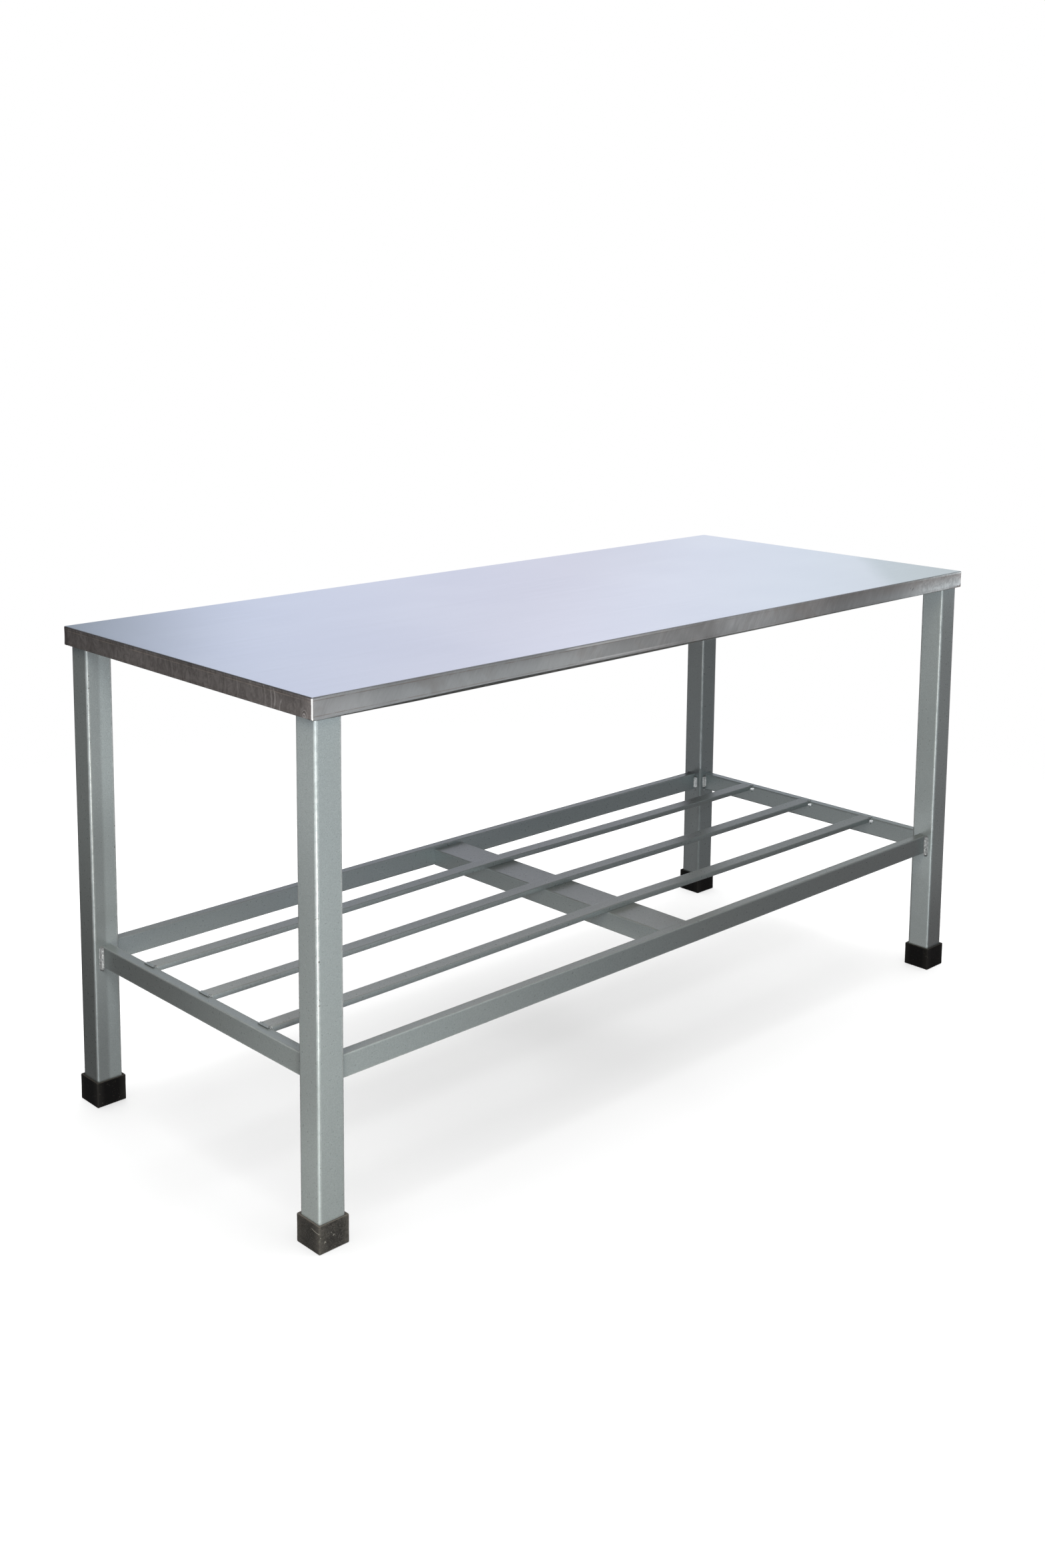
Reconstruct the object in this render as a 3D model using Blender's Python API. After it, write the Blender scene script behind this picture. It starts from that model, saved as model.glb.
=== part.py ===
"""Work table: a welded frame of painted square tube with a slatted shelf, under a folded
stainless steel worktop. Metres, +Z up, origin on the floor under the middle of the table.
X runs along the length, the front is at -Y."""
import math

import bmesh
import bpy
from mathutils import Matrix, Vector

for old in list(bpy.data.objects):
    bpy.data.objects.remove(old, do_unlink=True)

# ---------------------------------------------------------------- driving dimensions
LENGTH = 1.800          # worktop, along X
DEPTH = 0.750           # worktop, along Y
HEIGHT = 0.915          # floor to worktop surface
GAP = 0.0003            # between pieces that touch

SHEET = 0.0015          # thickness of the folded sheet
APRON = 0.0365          # depth of the folded edge
LIP = 0.0062            # inward lip at the bottom of the apron, from the outer face
TOP_BEND = 0.0022       # outside radius where the top folds into the apron
LIP_BEND = 0.0026       # outside radius where the apron folds into the lip
CORNER = 0.0030         # vertical corners, welded and ground

BOARD = 0.018           # board under the sheet
BOARD_CLEAR = 0.0008    # between the board's edge and the sheet

LEG = 0.052             # square tube
LEG_WALL = 0.002
LEG_RADIUS = 0.0035
LEG_INSET_X = 0.011     # leg's outer face inside the apron's outer face
LEG_INSET_Y = 0.007

FOOT_WALL = 0.0045
FOOT_HEIGHT = 0.049
FOOT_FLOOR = 0.004
FOOT_RADIUS = 0.0055

RAIL_H = 0.040          # lower rails, tube on edge
RAIL_W = 0.020
RAIL_WALL = 0.0015
RAIL_RADIUS = 0.0025
RAIL_TOP = 0.312        # height of the lower rails' top faces

RING_W = 0.040          # upper ring, the same tube laid flat
RING_H = 0.020

CROSS_W = 0.080         # wide tube under the slats at mid-length
CROSS_H = 0.036
CROSS_WALL = 0.002
CROSS_RADIUS = 0.0035
CROSS_DROP = 0.0035     # its top below the rails' tops

SLAT_W = 0.030          # folded channel, open underneath
SLAT_H = 0.010
SLAT_T = 0.0015
SLAT_RADIUS = 0.0014
SLAT_LAP = 0.007        # web of the channel resting on the end rails
SLAT_PITCH = 0.1765     # between the slats' centre lines
SLAT_SPRUNG = 0.8       # share of each half that is lifted off its straight line

SCREW_X = (-0.60, -0.20, 0.20, 0.60)
SCREW_R = 0.0020        # shank
SCREW_HOLE = 0.0024     # clearance holes in the ring and pilot holes in the board
SCREW_IN_BOARD = 0.013
SCREW_FLANGE_R = 0.0052
SCREW_HEX_AF = 0.007

# ---------------------------------------------------------------- derived positions
HX, HY = LENGTH / 2, DEPTH / 2
LEG_X = HX - LEG_INSET_X - LEG / 2
LEG_Y = HY - LEG_INSET_Y - LEG / 2
BOARD_TOP = HEIGHT - SHEET - GAP
BOARD_BOTTOM = BOARD_TOP - BOARD
RING_TOP = BOARD_BOTTOM - GAP
RING_BOTTOM = RING_TOP - RING_H
LEG_TOP = RING_TOP
LEG_BOTTOM = FOOT_FLOOR + GAP
RAIL_Z = RAIL_TOP - RAIL_H / 2
CROSS_TOP = RAIL_TOP - CROSS_DROP
SLAT_END_TOP = RAIL_TOP + GAP + SLAT_T          # top of the slat where it laps the end rail
SLAT_RISE = CROSS_TOP + GAP + SLAT_H - SLAT_END_TOP   # lifted this much by the cross tube


# ---------------------------------------------------------------- materials
def paint(name, rgb, rough, metal=0.0):
    mat = bpy.data.materials.new(name)
    mat.use_nodes = True
    bsdf = mat.node_tree.nodes["Principled BSDF"]
    bsdf.inputs["Base Color"].default_value = (*rgb, 1.0)
    bsdf.inputs["Roughness"].default_value = rough
    bsdf.inputs["Metallic"].default_value = metal
    mat.diffuse_color = (*rgb, 1.0)
    return mat


COLOURS = {
    "steel": ((0.62, 0.64, 0.66), 0.32, 1.0),
    "paint": ((0.27, 0.31, 0.315), 0.48, 0.0),
    "foot": ((0.022, 0.022, 0.022), 0.70, 0.0),
    "board": ((0.50, 0.36, 0.21), 0.80, 0.0),
    "zinc": ((0.66, 0.66, 0.62), 0.35, 1.0),
}


# ---------------------------------------------------------------- mesh helpers
def rounded(hx, hy, r, seg):
    """Rounded rectangle, counter-clockwise, 4 * (seg + 1) points."""
    r = max(min(r, hx, hy), 1e-5)
    pts = []
    for k, (sx, sy) in enumerate(((1, 1), (-1, 1), (-1, -1), (1, -1))):
        cx, cy = sx * (hx - r), sy * (hy - r)
        for i in range(seg + 1):
            a = math.radians(90 * k + 90 * i / seg)
            pts.append((cx + r * math.cos(a), cy + r * math.sin(a)))
    return pts


def arc(cx, cy, r, start, end, seg):
    """Points on an arc, angles in degrees, both ends included."""
    return [(cx + r * math.cos(math.radians(start + (end - start) * i / seg)),
             cy + r * math.sin(math.radians(start + (end - start) * i / seg)))
            for i in range(seg + 1)]


def lofted(loops, closed=False):
    """Skin between loops of equal length. An open stack is capped at both ends, a closed
    stack joins its last loop to its first."""
    bm = bmesh.new()
    rings = [[bm.verts.new(p) for p in loop] for loop in loops]
    count = len(rings)
    for a in range(count if closed else count - 1):
        r0, r1 = rings[a], rings[(a + 1) % count]
        n = len(r0)
        for i in range(n):
            j = (i + 1) % n
            bm.faces.new((r0[i], r0[j], r1[j], r1[i]))
    if not closed:
        bm.faces.new(list(reversed(rings[0])))
        bm.faces.new(rings[-1])
    bmesh.ops.recalc_face_normals(bm, faces=bm.faces)
    if bm.calc_volume(signed=True) < 0:
        bmesh.ops.reverse_faces(bm, faces=bm.faces)
    return bm


def piece(name, bm_or_mesh, kind, location=(0, 0, 0), rotation=(0, 0, 0), parent=None):
    if isinstance(bm_or_mesh, bpy.types.Mesh):
        mesh = bm_or_mesh.copy()
    else:
        mesh = bpy.data.meshes.new(name)
        bm_or_mesh.to_mesh(mesh)
        bm_or_mesh.free()
        mesh.shade_smooth()
        mesh.set_sharp_from_angle(angle=math.radians(35))
    obj = bpy.data.objects.new(name, mesh)
    rgb, rough, metal = COLOURS[kind]
    mesh.materials.clear()
    mesh.materials.append(paint(name + "_finish", rgb, rough, metal))
    obj.location = location
    obj.rotation_euler = rotation
    obj.parent = parent
    bpy.context.scene.collection.objects.link(obj)
    return obj


def group(name, location=(0, 0, 0)):
    empty = bpy.data.objects.new(name, None)
    empty.location = location
    bpy.context.scene.collection.objects.link(empty)
    return empty


def tube(length, width, height, wall, radius, seg=4):
    """Hollow rectangular section along local Z, open at both ends, centred on its middle."""
    outer = rounded(width / 2, height / 2, radius, seg)
    inner = rounded(width / 2 - wall, height / 2 - wall, max(radius - wall, 0.0005), seg)
    z = length / 2
    return lofted([[(x, y, -z) for x, y in outer], [(x, y, z) for x, y in outer],
                   [(x, y, z) for x, y in inner], [(x, y, -z) for x, y in inner]],
                  closed=True)


ALONG_X = (math.radians(90), 0, math.radians(90))    # local Z to +X, local Y to +Z
ALONG_Y = (math.radians(-90), 0, math.radians(180))  # local Z to +Y, local Y to +Z

worktop = group("worktop", (0, 0, BOARD_BOTTOM))
frame = group("frame")


# ---------------------------------------------------------------- worktop
def worktop_sheet():
    """Top, apron and lip folded from one sheet. Each loop is the outline at one step round
    the fold, given by its inset from the outer face and its height."""
    t, rt, rl = SHEET, TOP_BEND, LIP_BEND
    bottom = HEIGHT - APRON
    steps = []
    steps += [(rt + 0.0, HEIGHT)]
    steps += [(rt - rt * math.sin(a), HEIGHT - rt + rt * math.cos(a))
              for a in (math.radians(d) for d in (30, 60, 90))]
    steps += [(rl - rl * math.cos(a), bottom + rl - rl * math.sin(a))
              for a in (math.radians(d) for d in (0, 30, 60, 90))]
    steps += [(LIP, bottom), (LIP, bottom + t)]
    ri = rl - t
    steps += [(t + ri - ri * math.cos(a), bottom + rl - ri * math.sin(a))
              for a in (math.radians(d) for d in (90, 45, 0))]
    ri = rt - t
    steps += [(t + ri - ri * math.cos(a), HEIGHT - rt + ri * math.sin(a))
              for a in (math.radians(d) for d in (0, 45, 90))]
    loops = []
    for inset, z in steps:
        r = max(CORNER - inset, 0.0004)
        loops.append([(x, y, z - BOARD_BOTTOM) for x, y in
                      rounded(HX - inset, HY - inset, r, 4)])
    return lofted(loops)


piece("worktop_sheet", worktop_sheet(), "steel", parent=worktop)


def hole_cutter(name, x, y, z0, z1, parent):
    bm = bmesh.new()
    bmesh.ops.create_cone(bm, cap_ends=True, segments=18, radius1=SCREW_HOLE,
                          radius2=SCREW_HOLE, depth=z1 - z0,
                          matrix=Matrix.Translation((x, y, (z0 + z1) / 2)))
    mesh = bpy.data.meshes.new(name)
    bm.to_mesh(mesh)
    bm.free()
    obj = bpy.data.objects.new(name, mesh)
    obj.hide_render = True
    obj.display_type = "WIRE"
    obj.parent = parent
    bpy.context.scene.collection.objects.link(obj)
    return obj


def drill(obj, cutter):
    mod = obj.modifiers.new("hole", "BOOLEAN")
    mod.operation = "DIFFERENCE"
    mod.solver = "EXACT"
    mod.object = cutter


def core_board():
    """Flat board with its upper edges eased, so that it clears the inside of the fold."""
    ex, ey = HX - SHEET - BOARD_CLEAR, HY - SHEET - BOARD_CLEAR
    ease = 0.001
    return lofted([[(x, y, z) for x, y in rounded(ex - inset, ey - inset, 0.0025, 2)]
                   for inset, z in ((0, 0), (0, BOARD - ease), (ease, BOARD))])


board = piece("core_board", core_board(), "board", parent=worktop)

# ---------------------------------------------------------------- legs and feet
leg_length = LEG_TOP - LEG_BOTTOM
leg_mesh = None


def foot_cap():
    """Square cap, open at the top, that takes the end of the leg."""
    inner = LEG / 2 + GAP
    outer = inner + FOOT_WALL - GAP
    r_in = LEG_RADIUS + GAP
    low, ease = 0.0012, 0.0010
    prof = [(outer - low, FOOT_RADIUS - low, 0.0),
            (outer - low * 0.3, FOOT_RADIUS - low * 0.3, low * 0.3),
            (outer, FOOT_RADIUS, low),
            (outer, FOOT_RADIUS, FOOT_HEIGHT - ease),
            (outer - ease * 0.3, FOOT_RADIUS - ease * 0.3, FOOT_HEIGHT - ease * 0.3),
            (outer - ease, FOOT_RADIUS - ease, FOOT_HEIGHT),
            (inner, r_in, FOOT_HEIGHT),
            (inner, r_in, FOOT_FLOOR)]
    return lofted([[(x, y, z) for x, y in rounded(h, h, r, 4)] for h, r, z in prof])


for tag, sx, sy in (("front_left", -1, -1), ("front_right", 1, -1),
                    ("back_left", -1, 1), ("back_right", 1, 1)):
    piece("leg_" + tag, tube(leg_length, LEG, LEG, LEG_WALL, LEG_RADIUS), "paint",
          (sx * LEG_X, sy * LEG_Y, LEG_BOTTOM + leg_length / 2), parent=frame)
    piece("foot_" + tag, foot_cap(), "foot", (sx * LEG_X, sy * LEG_Y, 0), parent=frame)

# ---------------------------------------------------------------- lower rails
long_run = 2 * (LEG_X - LEG / 2 - GAP)
short_run = 2 * (LEG_Y - LEG / 2 - GAP)
for tag, sy in (("front", -1), ("back", 1)):
    piece("shelf_rail_" + tag, tube(long_run, RAIL_W, RAIL_H, RAIL_WALL, RAIL_RADIUS),
          "paint", (0, sy * LEG_Y, RAIL_Z), ALONG_X, frame)
for tag, sx in (("left", -1), ("right", 1)):
    piece("shelf_rail_" + tag, tube(short_run, RAIL_W, RAIL_H, RAIL_WALL, RAIL_RADIUS),
          "paint", (sx * LEG_X, 0, RAIL_Z), ALONG_Y, frame)

# ---------------------------------------------------------------- cross tube and slats
cross_run = 2 * (LEG_Y - RAIL_W / 2 - GAP)
piece("shelf_cross_tube", tube(cross_run, CROSS_W, CROSS_H, CROSS_WALL, CROSS_RADIUS),
      "paint", (0, 0, CROSS_TOP - CROSS_H / 2), ALONG_Y, frame)

slat_reach = LEG_X - RAIL_W / 2              # to the inner faces of the end rails


def slat_lift(x):
    """Line of a strip welded down at its ends and lifted over the cross tube."""
    flat = CROSS_W / 2 + 0.001
    u = max(0.0, (abs(x) - flat) / (slat_reach - flat))
    return SLAT_RISE * max(0.0, 1 - u / SLAT_SPRUNG) ** 1.5


def slat():
    """Channel section swept along X. Between the end rails it has its web and two flanges;
    beyond their inner faces only the web goes on, and lies on the rails."""
    hw, t, r = SLAT_W / 2, SLAT_T, SLAT_RADIUS
    top = arc(hw - r, -r, r, 90, 0, 3) + [(hw, -t)]
    right = [(hw, -SLAT_H), (hw - t, -SLAT_H)]
    under = [(hw - t, -t), (-hw + t, -t)]
    left = [(-hw + t, -SLAT_H), (-hw, -SLAT_H)]
    back = [(-hw, -t)] + arc(-hw + r, -r, r, 180, 90, 3)
    section = top + right + under + left + back
    n_top, n_back = len(top), len(back)
    web_ids = (list(range(n_top)) + [n_top + 2, n_top + 3]
               + list(range(len(section) - n_back, len(section))))
    inner = slat_reach - GAP
    half = [CROSS_W / 2 + 0.001 + (inner - CROSS_W / 2 - 0.001) * i / 8 for i in range(9)]
    stations = [-x for x in reversed(half)] + half
    bm = bmesh.new()
    rows = [[bm.verts.new((x, y, z + slat_lift(x))) for y, z in section] for x in stations]
    n = len(section)
    for r0, r1 in zip(rows, rows[1:]):
        for i in range(n):
            j = (i + 1) % n
            bm.faces.new((r0[i], r0[j], r1[j], r1[i]))
    for row, x_end in ((rows[0], -slat_reach - SLAT_LAP), (rows[-1], slat_reach + SLAT_LAP)):
        near = [row[i] for i in web_ids]
        far = [bm.verts.new((x_end, section[i][0], section[i][1])) for i in web_ids]
        m = len(near)
        for i in range(m):
            j = (i + 1) % m
            bm.faces.new((near[i], near[j], far[j], far[i]))
        bm.faces.new(far)
        a = n_top - 1
        bm.faces.new((row[a], row[a + 1], row[a + 2], row[a + 3]))
        b = n_top + 3
        bm.faces.new((row[b], row[b + 1], row[b + 2], row[b + 3]))
    bmesh.ops.recalc_face_normals(bm, faces=bm.faces)
    if bm.calc_volume(signed=True) < 0:
        bmesh.ops.reverse_faces(bm, faces=bm.faces)
    return bm


for tag, y in (("front", -SLAT_PITCH), ("middle", 0.0), ("back", SLAT_PITCH)):
    piece("shelf_slat_" + tag, slat(), "paint", (0, y, SLAT_END_TOP), parent=frame)

# ---------------------------------------------------------------- upper ring
ring = {}
for tag, sy in (("front", -1), ("back", 1)):
    ring[tag] = piece("top_rail_" + tag,
                      tube(long_run, RING_W, RING_H, RAIL_WALL, RAIL_RADIUS),
                      "paint", (0, sy * LEG_Y, RING_TOP - RING_H / 2), ALONG_X, frame)
for tag, sx in (("left", -1), ("right", 1)):
    ring[tag] = piece("top_rail_" + tag,
                      tube(short_run, RING_W, RING_H, RAIL_WALL, RAIL_RADIUS),
                      "paint", (sx * LEG_X, 0, RING_TOP - RING_H / 2), ALONG_Y, frame)
bearer_run = 2 * (LEG_Y - RING_W / 2 - GAP)
piece("top_bearer_middle", tube(bearer_run, RING_W, RING_H, RAIL_WALL, RAIL_RADIUS),
      "paint", (0, 0, RING_TOP - RING_H / 2), ALONG_Y, frame)


# ---------------------------------------------------------------- screws into the board
def screw():
    """Hexagon head with a flange, shank up, origin where the flange meets the rail."""
    n = 18
    shank = SCREW_R
    hex_r = SCREW_HEX_AF / 2

    def ring_of(radius, z):
        return [(radius * math.cos(2 * math.pi * i / n),
                 radius * math.sin(2 * math.pi * i / n), z) for i in range(n)]

    def hexagon(apothem, z):
        pts = []
        for i in range(n):
            a = 2 * math.pi * i / n
            off = (a % (math.pi / 3)) - math.pi / 6
            r = apothem / math.cos(off)
            pts.append((r * math.cos(a), r * math.sin(a), z))
        return pts

    tip = RING_H + SCREW_IN_BOARD
    loops = [hexagon(hex_r * 0.86, -0.0048), hexagon(hex_r, -0.0043), hexagon(hex_r, -0.0011),
             ring_of(SCREW_FLANGE_R, -0.0009), ring_of(SCREW_FLANGE_R, -GAP),
             ring_of(shank, -GAP), ring_of(shank, tip - 0.004), ring_of(shank * 0.25, tip)]
    return lofted(loops)


index = 0
for tag, sy in (("front", -1), ("back", 1)):
    for x in SCREW_X:
        index += 1
        y = sy * LEG_Y
        through = hole_cutter("hole_rail_%d" % index, x, y, RING_BOTTOM - 0.003,
                              RING_TOP + 0.0015, frame)
        drill(ring[tag], through)
        pilot = hole_cutter("hole_board_%d" % index, x, y, RING_TOP - BOARD_BOTTOM - 0.002,
                            SCREW_IN_BOARD + 0.0012, worktop)
        drill(board, pilot)
        piece("board_screw_%d" % index, screw(), "zinc", (x, y, RING_BOTTOM), parent=frame)
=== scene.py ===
"""Looks for the stainless steel work table: folded sheet worktop, painted tube frame, weld
beads, slatted shelf and black foot caps, in a plain pale studio."""

import math

import bmesh
import bpy
import numpy as np
from mathutils import Matrix, Vector, noise


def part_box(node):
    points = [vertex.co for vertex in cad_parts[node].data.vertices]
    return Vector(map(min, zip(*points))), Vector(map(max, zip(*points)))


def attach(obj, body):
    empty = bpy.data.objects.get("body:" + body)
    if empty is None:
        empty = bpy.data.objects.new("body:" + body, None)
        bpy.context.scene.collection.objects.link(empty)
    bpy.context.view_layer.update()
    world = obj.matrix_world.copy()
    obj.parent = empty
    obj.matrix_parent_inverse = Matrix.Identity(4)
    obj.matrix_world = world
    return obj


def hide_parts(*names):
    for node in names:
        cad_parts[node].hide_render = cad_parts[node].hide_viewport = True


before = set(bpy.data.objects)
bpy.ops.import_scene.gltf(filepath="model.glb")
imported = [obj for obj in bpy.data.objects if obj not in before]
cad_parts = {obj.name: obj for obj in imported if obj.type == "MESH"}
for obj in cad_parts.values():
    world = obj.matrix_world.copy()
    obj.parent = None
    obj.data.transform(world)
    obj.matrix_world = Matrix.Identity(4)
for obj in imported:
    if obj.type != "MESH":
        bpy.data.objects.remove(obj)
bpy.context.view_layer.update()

scene = bpy.context.scene
rng = np.random.default_rng(11)

# ------------------------------------------------------------------ sizes, from the frame
SHEET_LO, SHEET_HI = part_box("worktop_sheet")
HX, HY, TOP = SHEET_HI.x, SHEET_HI.y, SHEET_HI.z
LEGS = ("front_left", "front_right", "back_left", "back_right")


def smooth(t):
    t = min(1.0, max(0.0, t))
    return t * t * (3 - 2 * t)


def curve(x, points):
    """Smooth interpolation through (x, value) points in rising x."""
    if x <= points[0][0]:
        return points[0][1]
    for (x0, v0), (x1, v1) in zip(points, points[1:]):
        if x <= x1:
            return v0 + (v1 - v0) * smooth((x - x0) / (x1 - x0))
    return points[-1][1]


# ------------------------------------------------------------------ mesh helpers
def finish_piece(name, bm, material, replaces=(), angle=38):
    bmesh.ops.recalc_face_normals(bm, faces=bm.faces)
    if bm.calc_volume(signed=True) < 0:
        bmesh.ops.reverse_faces(bm, faces=bm.faces)
    mesh = bpy.data.meshes.new(name)
    bm.to_mesh(mesh)
    bm.free()
    mesh.shade_smooth()
    mesh.set_sharp_from_angle(angle=math.radians(angle))
    mesh.materials.append(material)
    obj = bpy.data.objects.new(name, mesh)
    scene.collection.objects.link(obj)
    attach(obj, "root")
    if replaces:
        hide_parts(*replaces)
    return obj


def rounded(hx, hy, r, seg):
    pts = []
    for k, (sx, sy) in enumerate(((1, 1), (-1, 1), (-1, -1), (1, -1))):
        cx, cy = sx * (hx - r), sy * (hy - r)
        for i in range(seg + 1):
            a = math.radians(90 * k + 90 * i / seg)
            pts.append((cx + r * math.cos(a), cy + r * math.sin(a)))
    return pts


def tube_section(hw, hh, r, seg, sink, support=0.0016):
    """Outline of a rolled tube: rounded corners, faces very slightly hollow. Each point comes
    with how near it is to a corner, 1 on the arc and 0 on the face."""
    pts = []
    for k, (sx, sy) in enumerate(((1, 1), (-1, 1), (-1, -1), (1, -1))):
        cx, cy = sx * (hw - r), sy * (hh - r)
        for i in range(seg + 1):
            a = math.radians(90 * k + 90 * i / seg)
            pts.append((cx + r * math.cos(a), cy + r * math.sin(a), 1.0))
        # along the face that follows this corner
        nx, ny = ((0, 1), (-1, 0), (0, -1), (1, 0))[k]
        half = (hw if ny else hh) - r
        tx, ty = ((-1, 0), (0, -1), (1, 0), (0, 1))[k]
        for s in (support, half * 0.5, half, half * 1.5, 2 * half - support):
            d = sink * math.sin(math.pi * s / (2 * half))
            px = (hw - d) * nx if nx else cx + tx * s
            py = (hh - d) * ny if ny else cy + ty * s
            edge = math.exp(-min(s, 2 * half - s) / 0.003)
            pts.append((px, py, edge))
    return pts


def sweep_tube(name, start, end, up, width, height, wall, radius, material, replaces=(),
               step=0.03, sink=0.00012, wobble=0.00012, extra=None, seed=0.0, seg=5, bow=0.0):
    """Tube from start to end. up is the direction of its height. extra(s, side) adds a local
    displacement along each point's outward direction."""
    start, end, up = Vector(start), Vector(end), Vector(up).normalized()
    along = (end - start).normalized()
    side = along.cross(up).normalized()
    length = (end - start).length
    n = max(2, int(round(length / step)))
    outer = tube_section(width / 2, height / 2, radius, seg, sink)
    inner = rounded(width / 2 - wall, height / 2 - wall, max(radius - wall, 0.0004), 3)
    bm = bmesh.new()
    layer = bm.verts.layers.float.new("edge")
    rings = []
    for i in range(n + 1):
        s = length * i / n
        base = start + along * s + up * (bow * math.sin(math.pi * i / n) ** 1.3)
        ring = []
        for px, py, edge in outer:
            out = Vector((px, py, 0)).normalized()
            q = base + side * px + up * py
            w = noise.noise((q + Vector((seed, 3.1 * seed, 0))) * 6.0) * wobble
            w += noise.noise((q + Vector((seed, 0, 5.7 * seed))) * 17.0) * wobble * 0.5
            w = min(w, 0.0) if edge > 0.5 else w
            if extra:
                w += extra(s, px, py)
            v = bm.verts.new(q + (side * out.x + up * out.y) * w)
            v[layer] = edge
            ring.append(v)
        rings.append(ring)
    m = len(outer)
    for a, b in zip(rings, rings[1:]):
        for j in range(m):
            k = (j + 1) % m
            bm.faces.new((a[j], a[k], b[k], b[j]))
    caps = []
    for s, ring in ((0.0, rings[0]), (length, rings[-1])):
        base = start + along * s
        loop = [bm.verts.new(base + side * px + up * py) for px, py in inner]
        caps.append(loop)
        outer_edges = [bm.edges.get((ring[j], ring[(j + 1) % m])) for j in range(m)]
        inner_edges = [bm.edges.new((loop[j], loop[(j + 1) % len(loop)]))
                       for j in range(len(loop))]
        bmesh.ops.bridge_loops(bm, edges=outer_edges + inner_edges)
    a, b = caps
    for j in range(len(a)):
        k = (j + 1) % len(a)
        bm.faces.new((a[j], a[k], b[k], b[j]))
    return finish_piece(name, bm, material, replaces)


# ------------------------------------------------------------------ material helpers
class Graph:
    """A node material that reads object coordinates, which here are metres in the frame."""

    def __init__(self, name):
        self.mat = bpy.data.materials.new(name)
        self.mat.use_nodes = True
        self.tree = self.mat.node_tree
        self.tree.nodes.clear()
        self.out = self.add("ShaderNodeOutputMaterial")
        self.bsdf = self.add("ShaderNodeBsdfPrincipled")
        self.link(self.bsdf.outputs[0], self.out.inputs["Surface"])
        self.coord = self.add("ShaderNodeTexCoord").outputs["Object"]
        self.xyz = self.add("ShaderNodeSeparateXYZ")
        self.link(self.coord, self.xyz.inputs[0])
        self.x, self.y, self.z = self.xyz.outputs

    def add(self, kind, **props):
        node = self.tree.nodes.new(kind)
        for key, value in props.items():
            setattr(node, key, value)
        return node

    def link(self, a, b):
        self.tree.links.new(a, b)

    def put(self, value, socket):
        if isinstance(value, bpy.types.NodeSocket):
            self.link(value, socket)
        elif isinstance(value, (tuple, list)) and len(value) == 3 and \
                socket.type == "RGBA":
            socket.default_value = (*value, 1.0)
        else:
            socket.default_value = value

    def scaled(self, scale, rotation=(0, 0, 0), location=(0, 0, 0)):
        node = self.add("ShaderNodeMapping")
        self.link(self.coord, node.inputs["Vector"])
        node.inputs["Scale"].default_value = scale
        node.inputs["Rotation"].default_value = rotation
        node.inputs["Location"].default_value = location
        return node.outputs[0]

    def noise(self, scale, detail=2.0, rough=0.5, distortion=0.0, vec=None):
        node = self.add("ShaderNodeTexNoise")
        self.link(vec or self.coord, node.inputs["Vector"])
        node.inputs["Scale"].default_value = scale
        node.inputs["Detail"].default_value = detail
        node.inputs["Roughness"].default_value = rough
        node.inputs["Distortion"].default_value = distortion
        return node.outputs["Fac"]

    def voronoi(self, scale, feature="F1", vec=None, out="Distance", rand=1.0):
        node = self.add("ShaderNodeTexVoronoi", feature=feature)
        self.link(vec or self.coord, node.inputs["Vector"])
        node.inputs["Scale"].default_value = scale
        node.inputs["Randomness"].default_value = rand
        return node.outputs[out]

    def math(self, op, a, b=0.0, c=0.0, clamp=False):
        node = self.add("ShaderNodeMath", operation=op, use_clamp=clamp)
        for value, socket in zip((a, b, c), node.inputs):
            self.put(value, socket)
        return node.outputs[0]

    def range(self, value, lo, hi, to_lo=0.0, to_hi=1.0, smooth_=True):
        node = self.add("ShaderNodeMapRange",
                        interpolation_type="SMOOTHSTEP" if smooth_ else "LINEAR")
        self.link(value, node.inputs["Value"])
        node.inputs["From Min"].default_value = lo
        node.inputs["From Max"].default_value = hi
        node.inputs["To Min"].default_value = to_lo
        node.inputs["To Max"].default_value = to_hi
        return node.outputs["Result"]

    def mix(self, fac, a, b, blend="MIX"):
        node = self.add("ShaderNodeMix", data_type="RGBA", blend_type=blend)
        self.put(fac, node.inputs[0])
        self.put(a, node.inputs[6])
        self.put(b, node.inputs[7])
        return node.outputs[2]

    def attribute(self, name):
        return self.add("ShaderNodeAttribute", attribute_name=name).outputs["Fac"]

    def bump(self, height, strength, distance, normal=None):
        node = self.add("ShaderNodeBump")
        node.inputs["Strength"].default_value = strength
        node.inputs["Distance"].default_value = distance
        self.link(height, node.inputs["Height"])
        if normal is not None:
            self.link(normal, node.inputs["Normal"])
        return node.outputs[0]

    def band(self, value, centre, half, soft):
        """1 within half of centre, falling to 0 over soft."""
        away = self.math("ABSOLUTE", self.math("SUBTRACT", value, centre))
        return self.range(away, half + soft, half)

    def set(self, **sockets):
        for key, value in sockets.items():
            self.put(value, self.bsdf.inputs[key.replace("_", " ")])


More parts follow.
